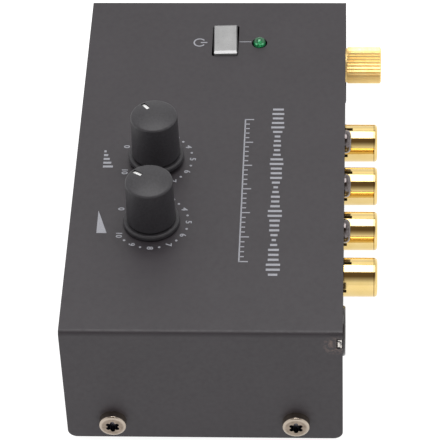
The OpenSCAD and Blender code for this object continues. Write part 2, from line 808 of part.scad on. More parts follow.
module sleeve_shell() {
    rotate_extrude() {
        translate([insulator_r, seat_z]) square([sleeve_seat_r - insulator_r, -seat_z]);
        translate([insulator_r, 0]) square([sleeve_wall, jack_out - rim_r]);
        translate([insulator_r, 0]) square([sleeve_wall - rim_r, jack_out]);
        intersection() {
            translate([sleeve_r - rim_r, jack_out - rim_r]) circle(rim_r);
            translate([sleeve_r - rim_r, 0]) square([rim_r, jack_out]);
        }
    }
}

module phono_sleeve(x) {
    color("#d9ab4e") in_case() {
        out_of_back(x, jack_z) difference() {
            sleeve_shell();
            for (a = [0, 180]) rotate(a) translate([0, sleeve_r, 0])
                box_on([window_w, 4 * sleeve_wall, window_l]);
            for (a = [90, 270]) rotate(a) translate([0, sleeve_r, 0])
                box_on([window_w, 4 * sleeve_wall, side_window_l]);
        }
        box_on([tag_w, tag_t, jack_z - tail_z - (sleeve_seat_r + insulator_r) / 2],
            [x, tag_y, tail_z]);
    }
}

module phono_in_left_sleeve() { phono_sleeve(jack_x[1]); }
module phono_in_right_sleeve() { phono_sleeve(jack_x[0]); }
module line_out_left_sleeve() { phono_sleeve(jack_x[3]); }
module line_out_right_sleeve() { phono_sleeve(jack_x[2]); }

module insulator(x) {
    in_case() out_of_back(x, jack_z) difference() {
        translate([0, 0, core_z]) cylinder(h = insulator_face - core_z, r = insulator_r);
        contact_room();
    }
}

module left_insulators() {
    color("#ece9e2") for (i = [1, 3]) insulator(jack_x[i]);
}

module right_insulators() {
    color("#b5282b") for (i = [0, 2]) insulator(jack_x[i]);
}

module centre_contacts() {
    floor_t = 0.8;
    color("#cf9f45") in_case() for (x = jack_x) {
        out_of_back(x, jack_z) {
            difference() {
                translate([0, 0, contact_back]) cylinder(h = contact_l, r = contact_out_r);
                translate([0, 0, contact_back + floor_t])
                    cylinder(h = contact_l, r = contact_r);
            }
            translate([0, 0, tail_y - back_y])
                cylinder(h = contact_back - tail_y + back_y, r = contact_tail_r);
        }
        translate([x, tail_y, tail_z]) cylinder(h = jack_z - tail_z, r = contact_tail_r);
        translate([x, tail_y, jack_z]) sphere(contact_tail_r);
    }
}

module rear_screws() {
    color("#b4b2b2") in_case() for (x = rear_screw_x)
        out_of_back(x, jack_z + rear_screw_up) {
            difference() {
                rounded_disc(rear_head_h, rear_head_r, rear_head_round);
                translate([0, 0, rear_head_h]) cross_recess(cross_reach, 0.9);
            }
            translate([0, 0, -rear_screw_l]) cylinder(h = rear_screw_l, r = rear_screw_r);
        }
}

// Earth terminal --------------------------------------------------------------------------

earth_lug_t = 0.5;
earth_lug_r = 3.6;
earth_lug_w = 3;

function knurl_outline() = [
    for (i = [0:2 * knurl_count - 1])
        let (a = 180 * i / knurl_count, r = i % 2 == 0 ? knurl_r : knurl_r - knurl_depth)
            [r * cos(a), r * sin(a)]
];

module earth_thumb_screw() {
    bevel = 0.4;
    grip = earth_out - earth_washer_t;
    color("#dcb257") in_case() out_of_back(earth_x, jack_z) {
        translate([0, 0, earth_washer_t]) intersection() {
            linear_extrude(grip) polygon(knurl_outline());
            union() {
                cylinder(h = grip - bevel, r = knurl_r + over);
                translate([0, 0, grip - bevel])
                    cylinder(h = bevel, r1 = knurl_r + bevel / 4, r2 = knurl_r - bevel);
            }
        }
        translate([0, 0, earth_washer_t - earth_thread_l])
            cylinder(h = earth_thread_l, r = earth_thread_r);
    }
}

module earth_washer() {
    color("#d3a94f") in_case() out_of_back(earth_x, jack_z)
        tube(earth_washer_t, knurl_r - knurl_depth, earth_thread_r + pass_gap);
}

module earth_nut() {
    color("#b9b9bd") in_case() out_of_back(earth_x, jack_z)
        translate([0, 0, -sheet_t - earth_lug_t - earth_nut_t]) difference() {
            cylinder(h = earth_nut_t, r = earth_nut_af / 2 / cos(30), $fn = 6);
            translate([0, 0, -over])
                cylinder(h = earth_nut_t + 2 * over, r = earth_thread_r + thread_gap);
        }
}

module earth_lug() {
    reach = earth_wire_x - earth_x;
    color("#c9c9cc") in_case() out_of_back(earth_x, jack_z)
        translate([0, 0, -sheet_t - earth_lug_t]) difference() {
            union() {
                cylinder(h = earth_lug_t, r = earth_lug_r);
                translate([0, -earth_lug_w / 2, 0])
                    cube([reach + earth_lug_w / 2, earth_lug_w, earth_lug_t]);
            }
            translate([0, 0, -over])
                cylinder(h = earth_lug_t + 2 * over, r = earth_thread_r + pass_gap);
        }
}

// A wire that leaves a tag along -Y, bends down and ends in the board
module hook_up_wire(x, from_y, to_y) {
    run = from_y - to_y - wire_bend;
    translate([x, from_y, jack_z]) rotate([90, 0, 0]) cylinder(h = run, r = wire_r);
    translate([x, to_y + wire_bend, jack_z - wire_bend]) rotate([0, -90, 0])
        rotate(-90) rotate_extrude(angle = 90) translate([wire_bend, 0]) circle(wire_r);
    translate([x, to_y, board_top])
        cylinder(h = jack_z - wire_bend - board_top, r = wire_r);
    translate([x, to_y, tail_z]) cylinder(h = board_top - tail_z, r = lead_r);
}

module earth_wire() {
    color("#3f7a43") in_case()
        hook_up_wire(earth_wire_x, back_inside - earth_lug_t, earth_wire_y);
}

// DC inlet --------------------------------------------------------------------------------

dc_seat_r = dc_pin_r - 0.3;
dc_floor_z = dc_flange_t - dc_hole_depth;

module dc_inlet_body() {
    color("#3b3a3c") in_case() out_of_back(dc_x, jack_z) difference() {
        union() {
            rounded_disc(dc_flange_t, dc_flange_r, 0.45);
            translate([0, 0, -dc_depth]) cylinder(h = dc_depth, r = dc_barrel_r);
        }
        translate([0, 0, dc_floor_z])
            cylinder(h = dc_hole_depth + over, r = dc_hole_r);
        translate([0, 0, -dc_depth - over])
            cylinder(h = dc_depth, r = dc_seat_r + push_gap);
    }
}

module dc_inlet_pin() {
    tip = 0.4;
    color("#c9c9cc") in_case() out_of_back(dc_x, jack_z) {
        translate([0, 0, -dc_depth]) cylinder(h = dc_depth - tip, r = dc_seat_r);
        translate([0, 0, dc_floor_z]) cylinder(h = -dc_floor_z - tip, r = dc_pin_r);
        translate([0, 0, -tip]) cylinder(h = tip, r1 = dc_pin_r, r2 = dc_pin_r - tip);
        translate([0, 0, -dc_depth - dc_tag_l]) cylinder(h = dc_tag_l, r = wire_r);
    }
}

module dc_inlet_nut() {
    color("#b9b9bd") in_case() out_of_back(dc_x, jack_z)
        translate([0, 0, -sheet_t - dc_nut_t]) difference() {
            cylinder(h = dc_nut_t, r = dc_nut_af / 2 / cos(30), $fn = 6);
            translate([0, 0, -over])
                cylinder(h = dc_nut_t + 2 * over, r = dc_barrel_r + thread_gap);
        }
}

module dc_inlet_tag() {
    color("#c9c9cc") in_case() out_of_back(dc_x, jack_z)
        translate([-dc_wire_gap, 0, -dc_depth - dc_tag_l])
            box_on([0.6, 2, dc_tag_l]);
}

module dc_positive_wire() {
    color("#b3282b") in_case()
        hook_up_wire(dc_x, back_y - dc_depth - dc_tag_l, dc_wire_y);
}

module dc_negative_wire() {
    color("#202022") in_case()
        hook_up_wire(dc_x - dc_wire_gap, back_y - dc_depth - dc_tag_l, dc_wire_y);
}

// Controls --------------------------------------------------------------------------------

module pot_body(at) {
    color("#5d6166") in_case() translate([at.x, at.y, board_top]) difference() {
        union() {
            box_on([pot_w, pot_w, pot_h]);
            translate([0, 0, pot_h]) cylinder(h = bush_h, r = bush_r);
        }
        translate([0, 0, -over]) cylinder(h = pot_hollow_h + over, r = pot_hollow_r);
        cylinder(h = pot_h + bush_h + over, r = shaft_r + running_gap);
    }
}

module level_pot_body() { pot_body(level_at); }
module volume_pot_body() { pot_body(volume_at); }

module pot_tracks() {
    color("#33302c") in_case() for (at = [level_at, volume_at]) {
        translate([at.x, at.y, board_top]) cylinder(h = track_t, r = track_r);
        leads(pot_pins(at), pot_lead_r, board_top + track_t / 2);
    }
}

// The D shape of a shaft's top and of the hole for it
module d_prism(h, r) {
    intersection() {
        cylinder(h = h, r = r);
        translate([-r, -r, 0]) cube([2 * r, 2 * r - shaft_flat, h]);
    }
}

module control_shaft(at, turn, knob_z) {
    top = knob_z + shaft_in_knob;
    color("#b7b8bb") in_case() translate([at.x, at.y, 0]) rotate(-zero_mark - turn) {
        translate([0, 0, wiper_z]) cylinder(h = wiper_t, r = wiper_r);
        translate([0, 0, wiper_z]) cylinder(h = top - knob_grip - wiper_z, r = shaft_r);
        translate([0, 0, top - knob_grip]) d_prism(knob_grip, shaft_r);
    }
}

module level_shaft() { control_shaft(level_at, level_turn, level_knob_z); }
module volume_shaft() { control_shaft(volume_at, volume_turn, volume_knob_z); }

// The knob's half section: a ring, a groove, a tapered body and a domed top
module knob_section() {
    ring_edge = 0.5;
    body_z = ring_t + groove_h;
    dome_z = knob_h - dome_r;
    crown_x = knob_top_r - crown_r;
    crown_z = dome_z + sqrt(pow(dome_r - crown_r, 2) - pow(crown_x, 2));
    dome_x = crown_x * dome_r / (dome_r - crown_r);
    square([ring_r, ring_t - ring_edge]);
    square([ring_r - ring_edge, ring_t]);
    intersection() {
        translate([ring_r - ring_edge, ring_t - ring_edge]) circle(ring_edge);
        square([ring_r, ring_t]);
    }
    square([groove_r, body_z]);
    polygon([[0, body_z], [knob_base_r, body_z], [knob_top_r, crown_z], [0, crown_z]]);
    translate([crown_x, crown_z]) circle(crown_r);
    intersection() {
        translate([0, dome_z]) circle(dome_r, $fn = 180);
        square([dome_x, knob_h]);
    }
}

// A strip that follows the domed top, from one depth below it to another
module pointer_strip(from_depth, to_depth) {
    translate([0, 0, knob_h - dome_r]) difference() {
        intersection() {
            translate([-pointer_w / 2, pointer_from, 0])
                cube([pointer_w, pointer_to - pointer_from, dome_r + 2 * over]);
            sphere(dome_r - from_depth, $fn = 180);
        }
        sphere(dome_r - to_depth, $fn = 180);
    }
}

module knob(at, turn, knob_z) {
    grip_z = shaft_in_knob - knob_grip;
    color("#2b2a2c") in_case() translate([at.x, at.y, knob_z]) rotate(-zero_mark - turn)
        difference() {
            rotate_extrude() knob_section();
            translate([0, 0, -over])
                cylinder(h = grip_z + over, r = shaft_r + push_gap);
            translate([0, 0, grip_z - push_gap])
                d_prism(knob_grip + free_gap + push_gap, shaft_r + push_gap);
            pointer_strip(-over, pointer_sink + pointer_t);
        }
}

module pointer(at, turn, knob_z) {
    color("#f2f2f2") in_case() translate([at.x, at.y, knob_z]) rotate(-zero_mark - turn)
        pointer_strip(pointer_sink, pointer_sink + pointer_t);
}

module level_knob() { knob(level_at, level_turn, level_knob_z); }
module volume_knob() { knob(volume_at, volume_turn, volume_knob_z); }
module level_pointer() { pointer(level_at, level_turn, level_knob_z); }
module volume_pointer() { pointer(volume_at, volume_turn, volume_knob_z); }

// Power button ----------------------------------------------------------------------------

module power_switch_body() {
    room_h = spring_l + collar_h + free_gap;
    color("#2c2d31") in_case() {
        translate([button_x, button_y, board_top]) difference() {
            box_on([switch_w, switch_w, switch_h]);
            box_on([collar_w + 2 * free_gap, collar_w + 2 * free_gap, room_h],
                [0, 0, switch_floor]);
            box_on([plunger_w + 2 * free_gap, plunger_w + 2 * free_gap, switch_h + over],
                [0, 0, switch_floor]);
        }
        leads(switch_pins, pot_lead_r, board_top);
    }
}

module power_switch_plunger() {
    color("#d8d4c8") in_case() translate([button_x, button_y, 0]) {
        box_on([collar_w, collar_w, collar_h], [0, 0, collar_z]);
        box_on([plunger_w, plunger_w, plunger_top - collar_z], [0, 0, collar_z]);
    }
}

// Points of one ring around the spring's wire, at turn t
spring_sides = 6;
spring_steps = 14 * spring_turns;
function spring_ring(k) = let (
    a = 360 * spring_turns * k / spring_steps,
    rise = spring_wire_r + (spring_l - 2 * spring_wire_r) * k / spring_steps
) [
    for (j = [0:spring_sides - 1])
        let (b = 360 * j / spring_sides, r = spring_r + spring_wire_r * cos(b))
            [r * cos(a), r * sin(a), rise + spring_wire_r * sin(b)]
];

module power_switch_spring() {
    n = spring_sides;
    points = [for (k = [0:spring_steps]) each spring_ring(k)];
    sides = [
        for (k = [0:spring_steps - 1], j = [0:n - 1])
            [k * n + j, k * n + (j + 1) % n, (k + 1) * n + (j + 1) % n, (k + 1) * n + j]
    ];
    first = [for (j = [n - 1:-1:0]) j];
    last = [for (j = [0:n - 1]) spring_steps * n + j];
    color("#a9a9ad") in_case()
        translate([button_x, button_y, board_top + switch_floor])
            polyhedron(points, concat(sides, [first], [last]));
}

// A block's outline with its two upper corners bevelled
module bevelled(l, h, bevel) {
    low = h - button_bevel_drop;
    polygon([
        [-l / 2, 0], [l / 2, 0], [l / 2, low], [l / 2 - bevel, h], [bevel - l / 2, h], [-l / 2, low]
    ]);
}

module button_cap() {
    intersection() {
        rounded_post(button_l, button_w, button_skirt, button_round);
        rotate([90, 0, 0]) linear_extrude(button_w, center = true)
            bevelled(button_l, button_skirt, button_end_bevel);
        rotate([90, 0, 90]) linear_extrude(button_l, center = true)
            bevelled(button_w, button_skirt, button_side_bevel);
    }
}

module power_button() {
    stem_low = plunger_top - stem_grip;
    inside_l = button_l - 2 * button_wall;
    inside_w = button_w - 2 * button_wall;
    color("#b9b7b5") in_case() translate([button_x, button_y, 0]) difference() {
        union() {
            difference() {
                rotate(button_slack) translate([0, 0, button_top - button_skirt]) button_cap();
                rotate(button_slack) box_on([inside_l, inside_w, button_skirt - button_face],
                    [0, 0, button_top - button_skirt]);
            }
            box_on([stem_w, stem_w, button_top - button_face - stem_low], [0, 0, stem_low]);
        }
        box_on([plunger_w + 2 * push_gap, plunger_w + 2 * push_gap, stem_grip + push_gap + over],
            [0, 0, stem_low - over]);
    }
}

// Lamp ------------------------------------------------------------------------------------

lamp_flange_h = 1;

module lamp_lens() {
    color("#2f9a58") in_case() translate([lamp_x, lamp_y, lamp_foot_z]) {
        cylinder(h = lamp_flange_h, r = lamp_flange_r);
        cylinder(h = lamp_l - lamp_r, r = lamp_r);
        translate([0, 0, lamp_l - lamp_r]) sphere(lamp_r);
    }
}

module lamp_post() {
    color("#1f1f21") in_case() difference() {
        translate([lamp_x, lamp_y, board_top])
            cylinder(h = lamp_foot_z - board_top, r = lamp_post_r);
        for (at = lamp_leg_spots) translate([at.x, at.y, board_top - over])
            cylinder(h = lamp_foot_z - board_top + 2 * over, r = leg_r + lead_gap);
    }
}

module lamp_legs() {
    color("#c9c9cc") in_case() leads(lamp_leg_spots, leg_r, lamp_foot_z);
}

// Circuit parts ---------------------------------------------------------------------------

module round_capacitors(spots, r, h, pitch) {
    crimp = 0.25;
    crimp_z = 1.2;
    for (at = spots) {
        translate([at.x, at.y, board_top]) difference() {
            rounded_disc(h, r, 0.5);
            translate([0, 0, crimp_z]) rotate_extrude() translate([r + 0.1, 0]) circle(crimp);
        }
        leads(pair(at, pitch), lead_r, board_top);
    }
}

module filter_capacitors() {
    color("#27335e") in_case()
        round_capacitors(filter_caps_at, filter_cap_r, filter_cap_h, filter_pitch);
}

module coupling_capacitors() {
    color("#1f2023") in_case()
        round_capacitors(coupling_caps_at, coupling_cap_r, coupling_cap_h, coupling_pitch);
}

module film_capacitors() {
    color("#9c2f2a") in_case() for (at = film_caps_at) {
        translate([at.x, at.y, board_top])
            rounded_cap(film_cap_l, film_cap_w, film_cap_h, 0.5);
        leads(pair(at, film_pitch), lead_r, board_top);
    }
}

// An axial part lying on the board, with both leads bent down into it
module axial_part(at, body_l, r, waist) {
    end_l = body_l / 4;
    axis_z = board_top + r;
    translate([at.x - body_l / 2, at.y, axis_z]) rotate([0, 90, 0]) {
        cylinder(h = body_l, r = waist);
        cylinder(h = end_l, r = r);
        translate([0, 0, body_l - end_l]) cylinder(h = end_l, r = r);
    }
    translate([at.x - resistor_pitch / 2, at.y, axis_z])
        rotate([0, 90, 0]) cylinder(h = resistor_pitch, r = lead_r);
    for (spot = pair(at, resistor_pitch)) translate([spot.x, spot.y, axis_z]) sphere(lead_r);
    leads(pair(at, resistor_pitch), lead_r, axis_z);
}

module resistors() {
    color("#c9b48c") in_case() for (at = resistors_at)
        axial_part(at, resistor_l, resistor_r, resistor_r - 0.2);
}

module rectifier() {
    color("#232326") in_case() axial_part(rectifier_at, rectifier_l, rectifier_r, rectifier_r);
}

module chip_sockets() {
    hollow_w = 3;
    color("#1d1d20") in_case() for (at = chips_at) {
        translate([at.x, at.y, board_top]) difference() {
            box_on([chip_l + 0.4, chip_row + 2.4, socket_h]);
            box_on([chip_l - 2, hollow_w, socket_h + 2 * over], [0, 0, -over]);
            for (spot = two_rows([0, 0], 4, chip_pitch, chip_row))
                box_on([0.8, 0.5, socket_h], [spot.x, spot.y, 1]);
        }
        leads(two_rows(at, 4, chip_pitch, chip_row), lead_r, board_top);
    }
}

module amplifier_chips() {
    leg_w = 0.6;
    leg_t = 0.3;
    leg_drop = 2;
    stand = 0.4;
    shoulder_z = stand + chip_h / 2;
    color("#303034") in_case() for (at = chips_at)
        translate([at.x, at.y, board_top + socket_h]) {
            difference() {
                box_on([chip_l, chip_w, chip_h], [0, 0, stand]);
                translate([-chip_l / 2, 0, stand + chip_h - 0.4])
                    cylinder(h = over, r = 0.8);
            }
            for (spot = two_rows([0, 0], 4, chip_pitch, chip_row)) {
                box_on([leg_w, leg_t, shoulder_z + leg_drop], [spot.x, spot.y, -leg_drop]);
                box_on([leg_w, chip_row / 2, leg_t],
                    [spot.x, spot.y * 0.75, shoulder_z - leg_t]);
            }
        }
}

module voltage_regulator() {
    can_r = 2.4;
    can_h = 4.8;
    stand = 2.5;
    flat = 1.2;
    color("#26262a") in_case() {
        translate([regulator_at.x, regulator_at.y, board_top + stand]) intersection() {
            cylinder(h = can_h, r = can_r);
            translate([-can_r, -flat, 0]) cube([2 * can_r, flat + can_r, can_h]);
        }
        leads([regulator_at], lead_r, board_top + stand);
        for (s = [-1, 1]) {
            spot = [regulator_at.x + s * regulator_pitch, regulator_at.y];
            leads([spot], lead_r, board_top + stand / 2);
            translate([spot.x, spot.y, board_top + stand / 2]) sphere(lead_r);
            translate([spot.x, spot.y, board_top + stand / 2])
                rotate([0, -s * 45, 0]) cylinder(h = stand * 0.75, r = lead_r);
        }
    }
}

top_cover();
chassis();
rubber_feet();
end_screws();
circuit_board();
board_standoffs();
board_screws();
phono_socket_block();
phono_in_left_sleeve();
phono_in_right_sleeve();
line_out_left_sleeve();
line_out_right_sleeve();
left_insulators();
right_insulators();
centre_contacts();
rear_screws();
earth_thumb_screw();
earth_washer();
earth_nut();
earth_lug();
earth_wire();
dc_inlet_body();
dc_inlet_pin();
dc_inlet_nut();
dc_inlet_tag();
dc_positive_wire();
dc_negative_wire();
level_pot_body();
volume_pot_body();
pot_tracks();
level_shaft();
volume_shaft();
level_knob();
volume_knob();
level_pointer();
volume_pointer();
power_switch_body();
power_switch_plunger();
power_switch_spring();
power_button();
lamp_lens();
lamp_post();
lamp_legs();
filter_capacitors();
coupling_capacitors();
film_capacitors();
resistors();
chip_sockets();
amplifier_chips();
voltage_regulator();
rectifier();
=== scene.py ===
# %% [markdown]
# # A phono preamp in a folded steel case
# The CAD model already holds every solid in its right place and size. This file dresses it: it
# gives each solid a finish with the fine detail of the real stuff, adds the pieces that are
# print, glass, wire or lacquer rather than plain solids, and lights the whole like a product
# on a table. Lengths are in metres, as in the CAD frame, with +X along the case, +Y out of
# the back wall and +Z up.

import math

import bmesh
import bpy
from mathutils import Matrix, Vector


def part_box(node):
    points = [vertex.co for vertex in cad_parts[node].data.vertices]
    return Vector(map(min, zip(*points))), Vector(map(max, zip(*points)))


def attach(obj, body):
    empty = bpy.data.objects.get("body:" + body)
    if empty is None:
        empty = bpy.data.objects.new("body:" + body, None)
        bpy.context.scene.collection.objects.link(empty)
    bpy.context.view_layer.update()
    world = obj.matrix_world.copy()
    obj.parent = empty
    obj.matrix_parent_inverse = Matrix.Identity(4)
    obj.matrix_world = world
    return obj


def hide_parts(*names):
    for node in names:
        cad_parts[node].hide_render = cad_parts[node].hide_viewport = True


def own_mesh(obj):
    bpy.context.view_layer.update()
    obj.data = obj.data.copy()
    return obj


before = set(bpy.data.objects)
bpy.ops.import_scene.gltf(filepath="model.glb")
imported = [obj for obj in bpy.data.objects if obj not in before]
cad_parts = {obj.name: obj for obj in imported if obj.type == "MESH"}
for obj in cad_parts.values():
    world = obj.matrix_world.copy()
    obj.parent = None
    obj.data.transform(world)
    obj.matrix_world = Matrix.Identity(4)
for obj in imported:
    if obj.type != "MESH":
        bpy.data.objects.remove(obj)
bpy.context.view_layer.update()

# %% [markdown]
# ## Millimetres and places
# The case is drawn in millimetres, and Blender works in metres, so one function converts.
# Another finds the middle of a CAD node. The lid's own box then gives the places that the
# print and the lamp are measured from, which keeps them right if the CAD model is built again
# at another size.

# %% Units and the lid's place
def mm(length):
    """Millimetres to metres."""
    return length / 1000


def middle_of(node):
    """The middle of a CAD node's box."""
    low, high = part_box(node)
    return (low + high) / 2


lid_low, lid_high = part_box("top_cover")
lid_middle = middle_of("top_cover")
lid_top = lid_high.z
print("lid top at", round(lid_top * 1000, 2), "mm")

# %% [markdown]
# ## Colours and nodes
# A colour given as hex is an sRGB value, but a shader works with linear light, so one
# function turns the hex code into linear numbers. A second small function adds a node, gives
# it its settings and fills its inputs, either with a value or with a link from another node.

# %% Helpers for colours and nodes
def linear(hex_colour):
    """An sRGB hex colour such as '#d8a23f' as linear red, green, blue and alpha."""
    channels = [int(hex_colour[i : i + 2], 16) / 255 for i in (1, 3, 5)]
    return [c / 12.92 if c <= 0.04045 else ((c + 0.055) / 1.055) ** 2.4 for c in channels] + [1]


def add_node(owner, kind, inputs=None, **settings):
    """Adds one node; each input takes a value or another node's output."""
    made = owner.node_tree.nodes.new(kind)
    for name, value in settings.items():
        setattr(made, name, value)
    for socket, value in (inputs or {}).items():
        if isinstance(value, bpy.types.NodeSocket):
            owner.node_tree.links.new(value, made.inputs[socket])
        else:
            made.inputs[socket].default_value = value
    return made


def new_finish(name, colour, **shader):
    """A material with its plain values set on the shader itself."""
    finish = bpy.data.materials.new(name)
    finish.use_nodes = True
    surface = finish.node_tree.nodes["Principled BSDF"]
    surface.inputs["Base Color"].default_value = linear(colour)
    finish.diffuse_color = linear(colour)
    for socket, value in shader.items():
        surface.inputs[socket.replace("_", " ")].default_value = value
    return finish


def drive(finish, socket, output):
    """Links an output to one socket of the finish's main shader."""
    surface = finish.node_tree.nodes["Principled BSDF"]
    finish.node_tree.links.new(output, surface.inputs[socket])


print("a mid grey in linear light:", round(linear("#808080")[0], 3))

# %% [markdown]
# ## What the finishes share
# Hardly any real surface is one flat value. Its colour is a little patchy, its gloss wanders
# and it has a fine relief, and all three come from noise whose grain is given in millimetres.
# A last helper lays a second colour over the first where a mask says so, for rubbed, oiled or
# turned spots.

# %% Helpers for uneven surfaces
def place_on(finish):
    """The point's place on the object, in metres, as an output."""
    return add_node(finish, "ShaderNodeTexCoord").outputs["Object"]


def grain(finish, size_mm, detail=2.0, stretch=(1, 1, 1)):
    """Noise with grains of about this size; a stretch of 0 draws it out along that axis."""
    spot = add_node(finish, "ShaderNodeMapping", {"Vector": place_on(finish), "Scale": stretch})
    return add_node(
        finish,
        "ShaderNodeTexNoise",
        {"Vector": spot.outputs[0], "Scale": 1000 / size_mm, "Detail": detail, "Roughness": 0.55},
    ).outputs[0]


def mottle(finish, size_mm, first, second, detail=3.0):
    """Colours the finish with two tones that mingle in patches of about this size."""
    patches = grain(finish, size_mm, detail)
    mask = add_node(finish, "ShaderNodeMapRange", {0: patches, 1: 0.3, 2: 0.7}).outputs[0]
    tones = {0: mask, 6: linear(first), 7: linear(second)}
    mixed = add_node(finish, "ShaderNodeMix", tones, data_type="RGBA").outputs[2]
    drive(finish, "Base Color", mixed)


def uneven_gloss(finish, size_mm, smooth, rough, stretch=(1, 1, 1)):
    """Lets the roughness wander between two values over patches of about this size."""
    patches = grain(finish, size_mm, 3, stretch)
    inputs = {0: patches, 1: 0.3, 2: 0.7, 3: smooth, 4: rough}
    drive(finish, "Roughness", add_node(finish, "ShaderNodeMapRange", inputs).outputs[0])


def relief(finish, size_mm, depth_mm, strength, stretch=(1, 1, 1), below=None):
    """Raises a grain of this size and depth, on its own or over another relief."""
    inputs = {"Height": grain(finish, size_mm, 2, stretch)}
    inputs |= {"Distance": depth_mm / 1000, "Strength": strength}
    if below is not None:
        inputs["Normal"] = below
    raised = add_node(finish, "ShaderNodeBump", inputs).outputs[0]
    drive(finish, "Normal", raised)
    return raised


def lay_over(finish, mask, colour):
    """Lays a second colour over the finish's present one where the mask is 1."""
    surface = finish.node_tree.nodes["Principled BSDF"]
    present = surface.inputs["Base Color"].links[0].from_socket
    tones = {0: mask, 6: present, 7: linear(colour)}
    mixed = add_node(finish, "ShaderNodeMix", tones, data_type="RGBA").outputs[2]
    drive(finish, "Base Color", mixed)


print("helpers ready")

# %% [markdown]
# ## Powder-coated steel
# The lid and the chassis are mild steel sheet, sprayed with polyester powder and baked. The
# powder melts into a satin skin that isn't quite flat: it keeps a fine pebble, called orange
# peel, of about 0.4 mm, over a slower wave of 6 mm. Both are noise used as bump. The gloss
# wanders over some 1 mm, and the colour, very faintly, over 18 mm.

# %% Powder coat
def powder_coat(name):
    coat = new_finish(name, "#272227", Roughness=0.5, IOR=1.5)
    mottle(coat, 18, "#252025", "#292429")
    uneven_gloss(coat, 1.1, 0.44, 0.56)
    pebble = relief(coat, 0.4, 0.012, 0.35)
    relief(coat, 6, 0.05, 0.12, below=pebble)
    return coat


lid_coat = powder_coat("lid_powder_coat")
print("made", lid_coat.name)

# %% [markdown]
# ## Rubbed corners of the lid
# Fitting the lid drags its notches over the chassis tabs, which rubs and stains the coat round
# them. Folding the point's place onto one corner treats both ends at once, and a ragged noise of
# 0.7 mm breaks up the stain, which fades out 3 mm from the notch.

# %% Rubbed corners
notch = (lid_high.x, lid_high.y - mm(1.6), lid_top - mm(3.4))
stain_full, stain_end = mm(1.2), mm(3)
swapped = {0: place_on(lid_coat), 1: (-1, 1, 1)}
other_end = add_node(lid_coat, "ShaderNodeVectorMath", swapped, operation="MULTIPLY").outputs[0]
folding = {0: other_end, 1: place_on(lid_coat)}
corner = add_node(lid_coat, "ShaderNodeVectorMath", folding, operation="MAXIMUM").outputs[0]
spread = {0: corner, 1: notch}
away = add_node(lid_coat, "ShaderNodeVectorMath", spread, operation="DISTANCE").outputs["Value"]
fade = {0: away, 1: stain_end, 2: stain_full}
closeness = add_node(lid_coat, "ShaderNodeMapRange", fade).outputs[0]
ragged = {0: grain(lid_coat, 0.7, 3), 1: 0.45, 2: 0.62}
blotches = add_node(lid_coat, "ShaderNodeMapRange", ragged).outputs[0]
stained = {0: closeness, 1: blotches}
stain = add_node(lid_coat, "ShaderNodeMath", stained, operation="MULTIPLY").outputs[0]
lay_over(lid_coat, stain, "#5b4c47")
print("rubbed the coat up to", round(stain_end * 1000, 1), "mm from each notch")

# %% [markdown]
# ## The chassis: coated, with two chipped tabs
# The chassis has the same coat, but on the two small tabs that locate the lid it's chipped
# to the bare steel where the lid's notch slides over them. They're the only parts of the
# chassis that reach past its own ends, so their place along X tells them apart, and a noise
# of 0.9 mm gives the chip its ragged edge.

# %% Chassis coat with bare tabs
chassis_coat = powder_coat("chassis_powder_coat")
past_ends = lid_high.x - mm(0.85)
along = add_node(chassis_coat, "ShaderNodeSeparateXYZ", {0: place_on(chassis_coat)}).outputs[0]
out = add_node(chassis_coat, "ShaderNodeMath", {0: along}, operation="ABSOLUTE").outputs[0]
on_tab = {0: out, 1: past_ends}
tab = add_node(chassis_coat, "ShaderNodeMath", on_tab, operation="GREATER_THAN").outputs[0]
ragged = {0: grain(chassis_coat, 0.9, 2), 1: 0.44, 2: 0.5}
chips = add_node(chassis_coat, "ShaderNodeMapRange", ragged).outputs[0]
chipped = {0: tab, 1: chips}
bare = add_node(chassis_coat, "ShaderNodeMath", chipped, operation="MULTIPLY").outputs[0]
lay_over(chassis_coat, bare, "#d6d2cc")
drive(chassis_coat, "Metallic", bare)
print("made", chassis_coat.name)

# %% [markdown]
# ## Gold plate
# The socket sleeves and the earth screw are turned brass with a bright gold flash. Turning
# leaves rings round the Y axis, finer than the eye can part; they're drawn here at 0.15 mm,
# coarse enough to streak the reflections. A metal's colour is its reflection, so the base
# colour is the gold itself and the metallic value is 1. Rolling a knurl upsets the surface,
# so the earth screw is paler and much less glossy than the sleeves.

# %% Gold plate
def gold_plate(name, dark, light, roughness, ring_depth):
    gold = new_finish(name, light, Metallic=1.0, Roughness=roughness)
    mottle(gold, 3, dark, light)
    uneven_gloss(gold, 0.15, roughness * 0.8, roughness * 1.25, (0.02, 1, 0.02))
    relief(gold, 0.15, ring_depth, 0.25, (0.02, 1, 0.02))
    return gold


sleeve_gold = gold_plate("gold_plated_sleeve", "#e0c481", "#e5cb8d", 0.07, 0.002)
knurl_gold = gold_plate("gold_plated_knurl", "#fcd992", "#ffe3a1", 0.46, 0.0004)
contact_gold = gold_plate("gold_flashed_contact", "#e0c481", "#e5cb8d", 0.25, 0.004)
print("made", sleeve_gold.name, knurl_gold.name, contact_gold.name)

# %% [markdown]
# ## The painted shade line behind a sleeve's rim
# Each sleeve has a fine groove, 0.2 mm wide, turned just behind its rim. It's too narrow for
# its walls to show, so its shade is painted on as a thin dark line, and a mask on the distance
# from one plane across Y draws this painted shade on all four sleeves at once.

# %% Painted shade of the turned groove
line_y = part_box("phono_in_left_sleeve")[1].y - mm(0.75)
shade_half_width = mm(0.09)
depth = add_node(sleeve_gold, "ShaderNodeSeparateXYZ", {0: place_on(sleeve_gold)}).outputs[1]
groove_shade_limits = {0: depth, 1: line_y, 2: shade_half_width}
line = add_node(sleeve_gold, "ShaderNodeMath", groove_shade_limits, operation="COMPARE").outputs[0]
# The groove's shade is painted here as a dark line over the gold.
lay_over(sleeve_gold, line, "#a08350")
print("line at y =", round(line_y * 1000, 2), "mm")

